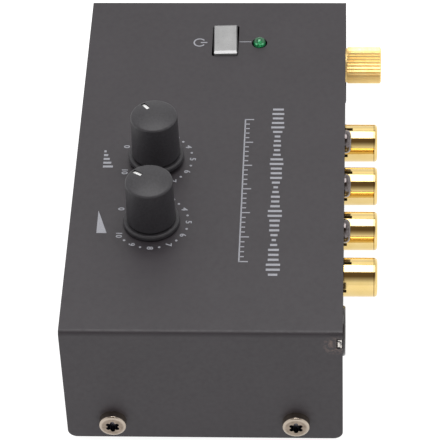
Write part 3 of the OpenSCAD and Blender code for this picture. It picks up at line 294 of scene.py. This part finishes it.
# %% [markdown]
# ## Screws, nuts and other small metal
# Steel screws differ in their plating: the ones between the sockets are black nickel, and
# the hidden ones are bright zinc. Such small parts are cold-headed, stamped or cast, which
# leaves a soft, faintly mottled face under the plating. So one function makes the family, and
# only the colour, the gloss and the size of the mottle change.

# %% Plated metals
def plated(name, light, dark, roughness, mottle_mm=0.5):
    metal = new_finish(name, light, Metallic=1.0, Roughness=roughness)
    mottle(metal, mottle_mm, dark, light, 4)
    uneven_gloss(metal, mottle_mm, roughness * 0.8, roughness * 1.3)
    relief(metal, mottle_mm / 3, 0.006, 0.3)
    return metal


black_nickel = plated("black_nickel_steel", "#767070", "#534d4c", 0.09)
bright_zinc = plated("bright_zinc_steel", "#c9ccd0", "#aeb1b6", 0.28)
nickel_brass = plated("nickel_plated_brass", "#cbc7bd", "#b3afa5", 0.25)
tin_plate = plated("tinned_brass", "#d2d2d0", "#b9b9b7", 0.35)
cast_zinc = plated("die_cast_zinc", "#9b9da1", "#808287", 0.5, 1.2)
spring_steel = plated("drawn_spring_steel", "#b4b4b6", "#8e8e91", 0.25, 0.3)
print("made the plated metals")

# %% [markdown]
# ## The end screws
# These four are steel too, with a bronze-tinted passivation. Shade is painted dark into
# their drive recess, and a highlight is painted lighter on the rim. Folding the
# point's place about the middle of the case brings all four heads onto one, whose radius then
# gives the painted rim highlight, and whose depth below its face gives the painted recess shade.

# %% Bronze-tinted screws with painted shade in the recesses and a painted rim highlight
bronze = plated("bronze_passivated_steel", "#9e9083", "#7d7165", 0.2, 0.9)
screws_low, screws_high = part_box("end_screws")
head_r = (screws_high.z - screws_low.z) / 2
axis_y = (screws_high.y - screws_low.y) / 2 - head_r
recess_r, recess_from = mm(1.6), mm(-0.12)
highlight_from, highlight_to = mm(2.1), mm(2.5)

about_middle = {0: place_on(bronze), 1: (screws_low + screws_high) / 2}
centred = add_node(bronze, "ShaderNodeVectorMath", about_middle, operation="SUBTRACT").outputs[0]
folded = add_node(bronze, "ShaderNodeVectorMath", {0: centred}, operation="ABSOLUTE").outputs[0]
about_axis = {0: folded, 1: (screws_high.x, axis_y, 0)}
from_face = add_node(bronze, "ShaderNodeVectorMath", about_axis, operation="SUBTRACT").outputs[0]
parts = add_node(bronze, "ShaderNodeSeparateXYZ", {0: from_face}).outputs
flat = add_node(bronze, "ShaderNodeCombineXYZ", {1: parts[1], 2: parts[2]}).outputs[0]
radius = add_node(bronze, "ShaderNodeVectorMath", {0: flat}, operation="LENGTH").outputs["Value"]
highlight_limits = {0: radius, 1: highlight_from, 2: highlight_to}
painted_rim_highlight = add_node(bronze, "ShaderNodeMapRange", highlight_limits).outputs[0]
# A highlight is painted lighter on each head's rim.
lay_over(bronze, painted_rim_highlight, "#b1a598")

near = add_node(bronze, "ShaderNodeMath", {0: radius, 1: recess_r}, operation="LESS_THAN")
sunk = add_node(bronze, "ShaderNodeMath", {0: parts[0], 1: recess_from}, operation="LESS_THAN")
both = {0: near.outputs[0], 1: sunk.outputs[0]}
painted_recess_shade = add_node(bronze, "ShaderNodeMath", both, operation="MULTIPLY").outputs[0]
# Shade is painted dark into each drive recess.
lay_over(bronze, painted_recess_shade, "#505057")
print("made", bronze.name, "with its axes", round(axis_y * 1000, 1), "mm off the middle")

# %% [markdown]
# ## Moulded plastics
# Moulded parts copy their tool: a spark-eroded tool leaves a fine matt grain and a polished
# one a smooth skin. The grain is a noise of a few tenths of a millimetre used as bump, and
# a slow, faint change of colour keeps a large face from looking like one flat fill. The
# button's silver lacquer is sprayed on such a moulding. Its aluminium flakes reflect as metal
# and its clear binder doesn't, so it's half metallic.

# %% Plastics and rubber
def moulded(name, colour, other, roughness, grain_mm=0.25, depth_mm=0.01, cloud_mm=5, **shader):
    plastic = new_finish(name, colour, Roughness=roughness, IOR=1.5, **shader)
    mottle(plastic, cloud_mm, colour, other)
    uneven_gloss(plastic, grain_mm, roughness * 0.88, roughness * 1.12)
    relief(plastic, grain_mm, depth_mm, 0.4)
    return plastic


knob_abs = moulded(
    "moulded_abs_knob", "#2a282b", "#353437", 0.42, 0.18, 0.014, 0.5, Specular_IOR_Level=0.35
)
black_nylon = moulded("black_glass_filled_nylon", "#1d1d1f", "#242426", 0.5)
white_nylon = moulded("white_nylon", "#e9e5db", "#dedacf", 0.32)
red_nylon = moulded("red_nylon", "#b3161a", "#a01216", 0.32)
inlet_nylon = moulded("smooth_black_nylon", "#2b2829", "#343031", 0.24, 0.3, 0.004)
foot_rubber = moulded("moulded_foot_rubber", "#161617", "#1e1e1f", 0.75, 0.4, 0.02)
acetal = moulded("natural_acetal", "#ddd8c9", "#d2ccbb", 0.4)
silver_lacquer = moulded(
    "silver_lacquered_button", "#9e9e9f", "#919192", 0.3, 0.12, 0.002, 3, Metallic=0.5
)
print("made the plastics")

# %% [markdown]
# ## Painted shade on the walls of the pointers' grooves
# Each pointer lies 0.4 mm down in a groove. The groove's shade is painted black on its walls,
# in place of the knob's grey grain. They're the only
# upright faces within 1.5 mm of a pointer's middle.

# %% Painted shade on the groove walls
facing = add_node(knob_abs, "ShaderNodeNewGeometry").outputs["Normal"]
rise = add_node(knob_abs, "ShaderNodeSeparateXYZ", {0: facing}).outputs[2]
level = add_node(knob_abs, "ShaderNodeMath", {0: rise}, operation="ABSOLUTE").outputs[0]
steep = {0: level, 1: 0.5}
upright = add_node(knob_abs, "ShaderNodeMath", steep, operation="LESS_THAN").outputs[0]
reach = mm(1.5)
for pointer in ("level_pointer", "volume_pointer"):
    ends = {0: place_on(knob_abs), 1: middle_of(pointer)}
    away = add_node(knob_abs, "ShaderNodeVectorMath", ends, operation="DISTANCE").outputs["Value"]
    close = {0: away, 1: reach}
    near = add_node(knob_abs, "ShaderNodeMath", close, operation="LESS_THAN").outputs[0]
    both = {0: near, 1: upright}
    painted_groove_shade = add_node(knob_abs, "ShaderNodeMath", both, operation="MULTIPLY").outputs[0]
    # Shade is painted black onto the upright walls near each pointer.
    lay_over(knob_abs, painted_groove_shade, "#0a0a0b")
print("blackened the groove walls of", knob_abs.name)

# %% [markdown]
# ## White print and pointer enamel
# The scales are screen printed. The ink lies some hundredths of a millimetre thick, is
# slightly grey against the coat, and its density follows the mesh of the screen, which the
# mottle draws at 0.2 mm. The knobs' pointers are filled with a glossier, whiter enamel.

# %% Screen-printing ink and enamel
ink = new_finish("screen_printing_ink", "#8f9097", Roughness=0.55)
mottle(ink, 0.2, "#84858c", "#9b9ca3")
uneven_gloss(ink, 0.5, 0.5, 0.65)
enamel = new_finish("white_pointer_enamel", "#f0f0f0", Roughness=0.35)
mottle(enamel, 0.4, "#e6e6e6", "#f6f6f6")
print("made", ink.name, enamel.name)

# %% [markdown]
# ## The circuit board's laminate
# The board is glass cloth and resin under a green solder mask. Copper tracks show through
# the mask as paler, straight-edged paths. A brick pattern has the same habit of long straight
# lines with short joints, so its mortar, 0.5 mm wide, stands for the tracks.

# %% Solder-masked laminate
laminate = new_finish("solder_masked_laminate", "#1c5a33", Roughness=0.35, Coat_Weight=0.4)
tracks = add_node(
    laminate,
    "ShaderNodeTexBrick",
    {
        "Vector": place_on(laminate),
        "Scale": 1000 / 10,
        "Mortar Size": 0.025,
        "Brick Width": 0.9,
        "Row Height": 0.28,
    },
    offset=0.37,
)
mask = {0: tracks.outputs[1], 6: linear("#1a5430"), 7: linear("#2f7d48")}
mixed = add_node(laminate, "ShaderNodeMix", mask, data_type="RGBA")
drive(laminate, "Base Color", mixed.outputs[2])
raised = {"Height": tracks.outputs[1], "Distance": mm(0.03), "Strength": 0.6}
drive(laminate, "Normal", add_node(laminate, "ShaderNodeBump", raised).outputs[0])
print("made", laminate.name)

# %% [markdown]
# ## Wire insulation, sleeving and lacquer
# PVC insulation is smooth and slightly waxy, capacitors wear a glossy shrink sleeve, and film
# capacitors are dipped in epoxy, which dries with a soft wave in its surface.

# %% Insulation, sleeves and dips
red_pvc = moulded("red_pvc_insulation", "#b01a1c", "#a01517", 0.38)
black_pvc = moulded("black_pvc_insulation", "#19191a", "#222223", 0.38)
green_pvc = moulded("green_pvc_insulation", "#2c7a38", "#27702f", 0.38)
blue_sleeve = moulded("blue_capacitor_sleeve", "#1d2a5a", "#222f63", 0.25)
black_sleeve = moulded("black_capacitor_sleeve", "#1a1b1f", "#212227", 0.25)
epoxy_dip = moulded("red_epoxy_dip", "#8e201c", "#7f1a17", 0.2, 2.0, 0.05)
lacquer = moulded("resistor_lacquer", "#bfa77b", "#b39b6f", 0.35)
phenolic = moulded("brown_phenolic", "#4a2d1b", "#523320", 0.5)
print("made the finishes of the inner parts")

# %% [markdown]
# ## The lamp's lens
# The lamp is a 3 mm light-emitting diode, cast in green epoxy. The epoxy is clear enough to
# show the reflector cup inside, so about half of the light passes through it, and a slight
# haze scatters the rest.

# %% Green epoxy and the parts inside it
lens_green = new_finish(
    "green_cast_epoxy", "#26804e", Roughness=0.06, IOR=1.52, Transmission_Weight=0.55
)
mottle(lens_green, 1.2, "#227849", "#2a8855", 1)
cup_silver = plated("silvered_reflector_cup", "#e6e6e2", "#cfcfcb", 0.2, 0.2)
# The beads glow by emission, a painted glint for the pale dots of reflected light.
glint_bead = new_finish(
    "bond_bead_painted_glint",
    "#d8f0e0",
    Roughness=0.3,
    Emission_Color=(0.7, 1, 0.8, 1),
    Emission_Strength=1.2,
)
mottle(glint_bead, 0.1, "#d0ecd9", "#e2f6e8")
print("made", lens_green.name, glint_bead.name)

# %% [markdown]
# ## The viewpoint
# The camera looks along the case from beyond its DC inlet's end, 45 degrees down, through
# a long lens, so that the edges barely converge. It's tilted by a few degrees, as a hand-held
# camera is. The three axes of its view are worked out from those angles and become the
# columns of its matrix.

# %% Camera
azimuth = math.radians(94.054)
elevation = math.radians(44.616)
tilt = math.radians(-2.593)
distance = 0.62619
aim = Vector((mm(0.3), lid_middle.y + mm(1.51), lid_low.z + mm(13.36)))
back = Vector(
    (
        math.sin(azimuth) * math.cos(elevation),
        -math.cos(azimuth) * math.cos(elevation),
        math.sin(elevation),
    )
)
level_right = (-back).cross(Vector((0, 0, 1))).normalized()
level_up = level_right.cross(-back)
view_right = level_right * math.cos(tilt) + level_up * math.sin(tilt)
view_up = level_up * math.cos(tilt) - level_right * math.sin(tilt)

lens = bpy.data.cameras.new("long_lens")
lens.sensor_width = 36
lens.lens = 229.97
camera = bpy.data.objects.new("camera", lens)
turn = Matrix((view_right, view_up, back)).transposed().to_4x4()
camera.matrix_world = Matrix.Translation(aim + back * distance) @ turn
bpy.context.scene.collection.objects.link(camera)
bpy.context.scene.camera = camera
print("camera at", [round(v, 4) for v in camera.matrix_world.translation])

# %% [markdown]
# ## Soft studio light
# A polished cylinder shows what is round it, so the light is arranged for the gold sleeves.
# Under a grey ceiling, a dark wooden part of the room above the camera gives the brown band
# along them, a small bright window on the far side gives the pale band near their upper edge,
# and the rest is an even pale surround. A mask for each direction mixes them one over another.
# These are levels of light and not paint, so they're linear and may pass 1.

# %% Surround
world = bpy.data.worlds.new("pale_room")
bpy.context.scene.world = world
world.use_nodes = True
room = world.node_tree.nodes["Background"]


def towards(elevation_deg, from_deg, to_deg):
    """0 beyond from_deg off a direction above the X axis, rising to 1 within to_deg of it."""
    up = math.radians(elevation_deg)
    looking = add_node(world, "ShaderNodeTexCoord").outputs["Generated"]
    pair = {0: looking, 1: (math.cos(up), 0, math.sin(up))}
    facing = add_node(world, "ShaderNodeVectorMath", pair, operation="DOT_PRODUCT").outputs["Value"]
    limits = {0: facing, 1: math.cos(math.radians(from_deg)), 2: math.cos(math.radians(to_deg))}
    return add_node(world, "ShaderNodeMapRange", limits).outputs[0]


pale, grey = (1.08, 1.08, 1.08, 1), (0.68, 0.68, 0.69, 1)
wood, window = (0.13, 0.095, 0.068, 1), (1.3, 1.3, 1.26, 1)
layers = {0: towards(106, 50, 24), 6: pale, 7: grey}
ceiling = add_node(world, "ShaderNodeMix", layers, data_type="RGBA").outputs[2]
layers = {0: towards(64, 50, 14), 6: ceiling, 7: wood}
shaded = add_node(world, "ShaderNodeMix", layers, data_type="RGBA").outputs[2]
layers = {0: towards(136, 16, 8), 6: shaded, 7: window}
surround = add_node(world, "ShaderNodeMix", layers, data_type="RGBA").outputs[2]
world.node_tree.links.new(surround, room.inputs["Color"])
print("surround has", len(world.node_tree.nodes), "nodes")

# %% [markdown]
# ## The softbox
# One large area light hangs over the object, a little to the far side. Its size gives shadows
# with a soft edge, and its reflection is the white band between the brown one and the upper
# edge of each sleeve. The Standard view transform keeps the colours as they were picked.

# %% Softbox
softbox = bpy.data.lights.new("overhead_softbox", "AREA")
softbox.shape = "RECTANGLE"
softbox.size = 0.64
softbox.size_y = 0.55
softbox.energy = 4.5
softbox_stand = bpy.data.objects.new("overhead_softbox", softbox)
softbox_stand.location = (-0.11, 0, 0.8)
bpy.context.scene.collection.objects.link(softbox_stand)
bpy.context.scene.view_settings.view_transform = "Standard"
print("lit by", softbox.name)

# %% [markdown]
# ## The table
# A sheet of opal acrylic, lit from below, as product photographers use to keep shadows off a
# white ground. It's large enough to fill the view from any side, and lies 0.05 mm below the
# feet, so that the two don't share a plane. The first helper makes an object of any bmesh,
# here and in the cells that follow.

# %% Table
def new_piece(name, mesh_builder, finishes, body):
    """Turns a bmesh into an object with its finishes, riding on a CAD body."""
    mesh = bpy.data.meshes.new(name)
    mesh_builder.to_mesh(mesh)
    mesh_builder.free()
    piece = bpy.data.objects.new(name, mesh)
    bpy.context.scene.collection.objects.link(piece)
    for finish in finishes:
        mesh.materials.append(finish)
    if body:
        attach(piece, body)
    return piece


opal = new_finish(
    "lit_opal_acrylic",
    "#8f8f8f",
    Roughness=0.9,
    Emission_Color=(1, 1, 1, 1),
    Emission_Strength=0.9,
)
mottle(opal, 60, "#8d8d8d", "#919191", 2)
half_side = 3
below_feet = Matrix.Translation((0, 0, -mm(0.05)))
sheet = bmesh.new()
bmesh.ops.create_grid(sheet, x_segments=4, y_segments=4, size=half_side, matrix=below_feet)
table = new_piece("table_sheet", sheet, [opal], None)
print("table laid")

# %% [markdown]
# ## Printed marks
# Each mark is a flat shape a few hundredths of a millimetre thick, so that it catches light
# like ink on the coat. Dots and bars start from a flat bmesh circle or grid and are pulled
# up. Digits start as Blender text, which is turned into a mesh first and put in place after.

# %% Helpers for flat marks
ink_t = mm(0.025)


def as_mesh(curve):
    """The mesh that a curve or a text makes."""
    holder = bpy.data.objects.new(curve.name, curve)
    bpy.context.scene.collection.objects.link(holder)
    bpy.context.view_layer.update()
    seen = holder.evaluated_get(bpy.context.evaluated_depsgraph_get())
    mesh = bpy.data.meshes.new_from_object(seen)
    bpy.data.objects.remove(holder)
    return mesh


def thicken(marks, faces):
    """Pulls flat faces up by the ink's thickness."""
    raised = bmesh.ops.extrude_face_region(marks, geom=faces)["geom"]
    points = [part for part in raised if isinstance(part, bmesh.types.BMVert)]
    bmesh.ops.translate(marks, verts=points, vec=(0, 0, ink_t))


def dot(marks, x, y, radius):
    place = Matrix.Translation((x, y, lid_top))
    made = bmesh.ops.create_circle(marks, cap_ends=True, segments=20, radius=radius, matrix=place)
    thicken(marks, list({face for point in made["verts"] for face in point.link_faces}))


def bar(marks, x, y, width, depth):
    place = Matrix.Translation((x, y, lid_top)) @ Matrix.Diagonal((width, depth, 1, 1))
    made = bmesh.ops.create_grid(marks, x_segments=1, y_segments=1, size=0.5, matrix=place)
    thicken(marks, list({face for point in made["verts"] for face in point.link_faces}))


capital_share = 0.72  # of a font's size, in Blender's own font


def digits(marks, text, x, y, cap_height):
    curve = bpy.data.curves.new("digits_" + text, "FONT")
    curve.body = text
    curve.size = cap_height / capital_share
    curve.align_x = "CENTER"
    curve.align_y = "CENTER"
    curve.extrude = ink_t / 2
    curve.offset = mm(0.045)
    curve.resolution_u = 4
    shape = as_mesh(curve)
    shape.transform(Matrix.Translation((x, y, lid_top + ink_t / 2)))
    marks.from_mesh(shape)
    bpy.data.meshes.remove(shape)


print("ink is", round(ink_t * 1000, 3), "mm thick")

# %% [markdown]
# ## The dials' scales
# Both controls turn through 300 degrees, from 0 at seven o'clock to 10 at five o'clock. The
# digits stand 30 degrees apart with a dot half way, all on one circle round the shaft.

# %% Scales from 0 to 10
scale_r, dot_r, digit_height = mm(7.85), mm(0.27), mm(1.3)


def dial_scale(name, knob):
    centre = middle_of(knob)
    marks = bmesh.new()
    for step in range(21):
        angle = math.radians(-150 + 15 * step)
        x = centre.x + scale_r * math.sin(angle)
        y = centre.y + scale_r * math.cos(angle)
        if step % 2:
            dot(marks, x, y, dot_r)
        else:
            digits(marks, str(step // 2), x, y, digit_height)
    return new_piece(name, marks, [ink], "case")


for name, knob in (("level_scale", "level_knob"), ("volume_scale", "volume_knob")):
    scale = dial_scale(name, knob)
    print(scale.name, len(scale.data.polygons), "faces")

# %% [markdown]
# ## Icons in place of words
# The controls carry plain signs: rising bars by the level control, a wedge by the volume
# control and the usual broken ring with a stroke by the power button.

# %% Power, level and volume signs
def arc(marks, x, y, radius, width, start, sweep, steps=24):
    """A flat part of a ring, spun from one short edge."""
    first = [
        marks.verts.new((x + r * math.cos(start), y + r * math.sin(start), lid_top))
        for r in (radius - width / 2, radius + width / 2)
    ]
    edge = marks.edges.new(first)
    before = set(marks.faces)
    bmesh.ops.spin(
        marks, geom=first + [edge], cent=(x, y, lid_top), axis=(0, 0, 1), angle=sweep, steps=steps
    )
    thicken(marks, [face for face in marks.faces if face not in before])


signs = bmesh.new()
ring_r, stroke, stroke_length = mm(1.25), mm(0.32), mm(1.5)
button_middle = middle_of("power_button")
sign_x, sign_y = button_middle.x + mm(0.6), button_middle.y - mm(5.9)
arc(signs, sign_x, sign_y, ring_r, stroke, math.radians(125), math.radians(290))
bar(signs, sign_x, sign_y + mm(1.0), stroke, stroke_length)
power_sign = new_piece("power_sign", signs, [ink], "case")

below_dial = mm(11.6)
bars = bmesh.new()
bar_pitch, bar_width = mm(1.2), mm(0.62)
level_middle = middle_of("level_knob")
for i in range(5):
    height = mm(0.5 + 0.42 * i)
    x = level_middle.x + bar_pitch * (i - 2)
    bar(bars, x, level_middle.y - below_dial + height / 2, bar_width, height)
level_sign = new_piece("level_sign", bars, [ink], "case")

wedge = bmesh.new()
half_length, rise_to = mm(3.4), mm(2.2)
volume_middle = middle_of("volume_knob")
low = volume_middle.y - below_dial
corners = [(-half_length, 0), (half_length, 0), (half_length, rise_to)]
points = [wedge.verts.new((volume_middle.x + x, low + y, lid_top)) for x, y in corners]
thicken(wedge, [wedge.faces.new(points)])
volume_sign = new_piece("volume_sign", wedge, [ink], "case")
print("signs printed")

# %% [markdown]
# ## Ornament and leader line
# The broad part of the lid carries a generic ornament of fine bars over a ruled line, and
# a thin leader joins the power button to its lamp.

# %% Ornament and leader
ornament = bmesh.new()
top_row = lid_middle.y + mm(14.5)
top_start, top_pitch = mm(-15.4), mm(1.46)
for i in range(36):
    swing = 0.5 + 0.32 * math.sin(i * 0.62) + 0.18 * math.sin(i * 1.7 + 1)
    bar(ornament, top_start + top_pitch * i, top_row, bar_width, mm(0.9 + 2.3 * abs(swing)))

rule_y = lid_middle.y + mm(7.3)
rule_start, rule_length, line_width = mm(-12.1), mm(44), mm(0.3)
rule_middle = rule_start + rule_length / 2
bar(ornament, rule_middle, rule_y, rule_length + line_width, line_width)
for i in range(31):
    depth = mm(1.9 if i % 5 == 0 else 1.0)
    bar(ornament, rule_start + rule_length * i / 30, rule_y + depth / 2, line_width, depth)
ornament_print = new_piece("ruled_ornament", ornament, [ink], "case")

leader = bmesh.new()
lamp_middle = middle_of("lamp_lens")
leader_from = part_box("power_button")[1].y + mm(0.35)
leader_to = lamp_middle.y - mm(1.85)
leader_length = leader_to - leader_from
bar(leader, lamp_middle.x - mm(0.4), leader_from + leader_length / 2, mm(0.2), leader_length)
leader_print = new_piece("lamp_leader_line", leader, [ink], "case")
print("ornament has", len(ornament_print.data.polygons), "faces")

# %% [markdown]
# ## The lamp
# The lens is turned as a profile: a flange, a straight barrel and a dome. A profile that is
# spun round an axis gives a true round form with few points. The lens replaces the CAD node,
# whose place and size it keeps.

# %% Cast lens
def turned(profile, centre, steps=32):
    """Spins a profile of (radius, height) points, from axis to axis, into a closed solid."""
    shape = bmesh.new()
    line = [shape.verts.new((centre.x + r, centre.y, z)) for r, z in profile]
    edges = [shape.edges.new(pair) for pair in zip(line, line[1:])]
    bmesh.ops.spin(
        shape,
        geom=line + edges,
        cent=(centre.x, centre.y, 0),
        axis=(0, 0, 1),
        angle=2 * math.pi,
        steps=steps,
        use_merge=True,
    )
    bmesh.ops.remove_doubles(shape, verts=shape.verts, dist=1e-7)
    bmesh.ops.recalc_face_normals(shape, faces=shape.faces)
    return shape


lens_low, lens_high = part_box("lamp_lens")
lens_r, flange_r = mm(1.4), mm(1.9)
flange_top = lens_low.z + mm(1)
dome_z = lens_high.z - lens_r
profile = [(0, lens_low.z), (flange_r, lens_low.z), (flange_r, flange_top), (lens_r, flange_top)]
for i in range(9):
    angle = math.radians(90 * i / 8)
    profile.append((lens_r * math.cos(angle), dome_z + lens_r * math.sin(angle)))
profile[-1] = (0, lens_high.z)
cast = turned(profile, lamp_middle)
lamp = new_piece("lamp_lens_cast", cast, [lens_green], "case")
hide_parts("lamp_lens")
print("lamp stands", round((lens_high.z - lid_top) * 1000, 2), "mm out of the lid")

# %% [markdown]
# ## Inside the lamp
# The reflector cup is a separate piece, because light reaches it through the green epoxy. So
# are three tiny beads, where the bond wires are joined; they glow faintly, a painted glint
# that stands for the pale dots of reflected light. All of them are smooth, so their faces are
# shaded as one surface.

# %% Reflector cup and beads
cup_foot, cup_floor, cup_rim = dome_z - mm(1.1), dome_z - mm(0.75), dome_z - mm(0.35)
cup_profile = [
    (0, cup_foot),
    (mm(0.8), cup_foot),
    (mm(0.85), cup_rim),
    (mm(0.7), cup_rim),
    (mm(0.35), cup_floor),
    (0, cup_floor),
]
cup = turned(cup_profile, lamp_middle, 20)
reflector = new_piece("lamp_reflector_cup", cup, [cup_silver], "case")

beads = bmesh.new()
bead_r = mm(0.2)
squat = Matrix.Diagonal((1, 1, 0.7, 1))
for x, y, z in ((-0.17, -0.09, 0.33), (0.2, -0.5, -0.05), (0.2, 0.5, -0.05)):
    place = Matrix.Translation((lamp_middle.x + mm(x), lamp_middle.y + mm(y), dome_z + mm(z)))
    bmesh.ops.create_icosphere(beads, subdivisions=2, radius=bead_r, matrix=place @ squat)
bond_beads = new_piece("lamp_bond_beads", beads, [glint_bead], "case")
for piece in (lamp, reflector, bond_beads):
    piece.data.polygons.foreach_set("use_smooth", [True] * len(piece.data.polygons))
print("cup and beads are", round((lens_high.z - cup_foot) * 1000, 2), "mm deep in the lens")

# %% [markdown]
# ## Coat across the relief slits
# A short slit at each rear end of the lid's folds lets the sheet bend without tearing. Powder
# coat melts across such a narrow slit, so from outside only a faint dark seam shows. The
# bridge of coat is a short cross-section spun round the fold's own axis, just under the
# fold's surface.

# %% Coat bridges
fold_r, sunk_by = mm(1.1), mm(0.04)
outer, inner = fold_r - sunk_by, fold_r - mm(0.7)
inside, edge = lid_high.y - mm(2.45), lid_high.y - sunk_by
sweep_deg = 34
bridges = bmesh.new()
for side in (-1, 1):
    axis_x, axis_z = side * (lid_high.x - fold_r), lid_top - fold_r
    start = math.radians(45 - sweep_deg / 2 * side)
    line = []
    for r, y in ((outer, inside), (outer, edge), (inner, edge), (inner, inside)):
        place = (axis_x + side * r * math.sin(start), y, axis_z + r * math.cos(start))
        line.append(bridges.verts.new(place))
    bmesh.ops.spin(
        bridges,
        geom=[bridges.faces.new(line)],
        cent=(axis_x, 0, axis_z),
        axis=(0, 1, 0),
        angle=math.radians(sweep_deg),
        steps=10,
    )
bmesh.ops.recalc_face_normals(bridges, faces=bridges.faces)
coat_bridges = new_piece("lid_coat_bridges", bridges, [lid_coat], "case")
print("bridges have", len(coat_bridges.data.polygons), "faces")

# %% [markdown]
# ## The power switch's spring
# The CAD spring has six flat sides. A curve along the same helix with a round section gives
# drawn wire.

# %% Spring
spring_low, spring_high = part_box("power_switch_spring")
spring_middle = (spring_low + spring_high) / 2
wire_r, coil_r = mm(0.16), mm(1.3)
turns, steps = 5, 120
coil_height = spring_high.z - spring_low.z - 2 * wire_r

wire = bpy.data.curves.new("drawn_wire", "CURVE")
wire.dimensions = "3D"
wire.bevel_depth = wire_r
wire.bevel_resolution = 2
wire.use_fill_caps = True
helix = wire.splines.new("POLY")
helix.points.add(steps)
for i in range(steps + 1):
    share = i / steps
    angle = 2 * math.pi * turns * share
    x = spring_middle.x + coil_r * math.cos(angle)
    y = spring_middle.y + coil_r * math.sin(angle)
    z = spring_low.z + wire_r + coil_height * share
    helix.points[i].co = (x, y, z, 1)

coil_shape = bmesh.new()
coil_shape.from_mesh(as_mesh(wire))
spring = new_piece("power_switch_coil", coil_shape, [spring_steel], "case")
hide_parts("power_switch_spring")
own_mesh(spring)
print("spring is", round((spring_high.z - spring_low.z) * 1000, 2), "mm long")

# %% [markdown]
# ## Dressing the CAD solids
# The rest of the solids already have their true shape, so they only get their finish. The
# list reads by finish, which makes it easy to see what is made of what.

# %% Finishes for the CAD solids
dressed = {
    lid_coat: ["top_cover"],
    chassis_coat: ["chassis"],
    foot_rubber: ["rubber_feet"],
    bronze: ["end_screws"],
    black_nickel: ["rear_screws"],
    bright_zinc: ["board_screws", "earth_nut", "dc_inlet_nut"],
    nickel_brass: ["board_standoffs", "level_shaft", "volume_shaft"],
    sleeve_gold: [
        "phono_in_left_sleeve",
        "phono_in_right_sleeve",
        "line_out_left_sleeve",
        "line_out_right_sleeve",
    ],
    knurl_gold: ["earth_thumb_screw", "earth_washer"],
    contact_gold: ["centre_contacts"],
    white_nylon: ["left_insulators"],
    red_nylon: ["right_insulators"],
    black_nylon: [
        "phono_socket_block",
        "lamp_post",
        "power_switch_body",
        "chip_sockets",
        "amplifier_chips",
        "voltage_regulator",
        "rectifier",
    ],
    inlet_nylon: ["dc_inlet_body"],
    tin_plate: ["dc_inlet_pin", "dc_inlet_tag", "earth_lug", "lamp_legs"],
    laminate: ["circuit_board"],
    red_pvc: ["dc_positive_wire"],
    black_pvc: ["dc_negative_wire"],
    green_pvc: ["earth_wire"],
    cast_zinc: ["level_pot_body", "volume_pot_body"],
    phenolic: ["pot_tracks"],
    knob_abs: ["level_knob", "volume_knob"],
    enamel: ["level_pointer", "volume_pointer"],
    acetal: ["power_switch_plunger"],
    silver_lacquer: ["power_button"],
    epoxy_dip: ["film_capacitors"],
    blue_sleeve: ["filter_capacitors"],
    black_sleeve: ["coupling_capacitors"],
    lacquer: ["resistors"],
}
for finish, names in dressed.items():
    for name in names:
        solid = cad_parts[name]
        if not solid.material_slots:
            solid.data.materials.append(None)
        for place in solid.material_slots:
            place.material = finish
print("dressed", sum(len(names) for names in dressed.values()), "solids")
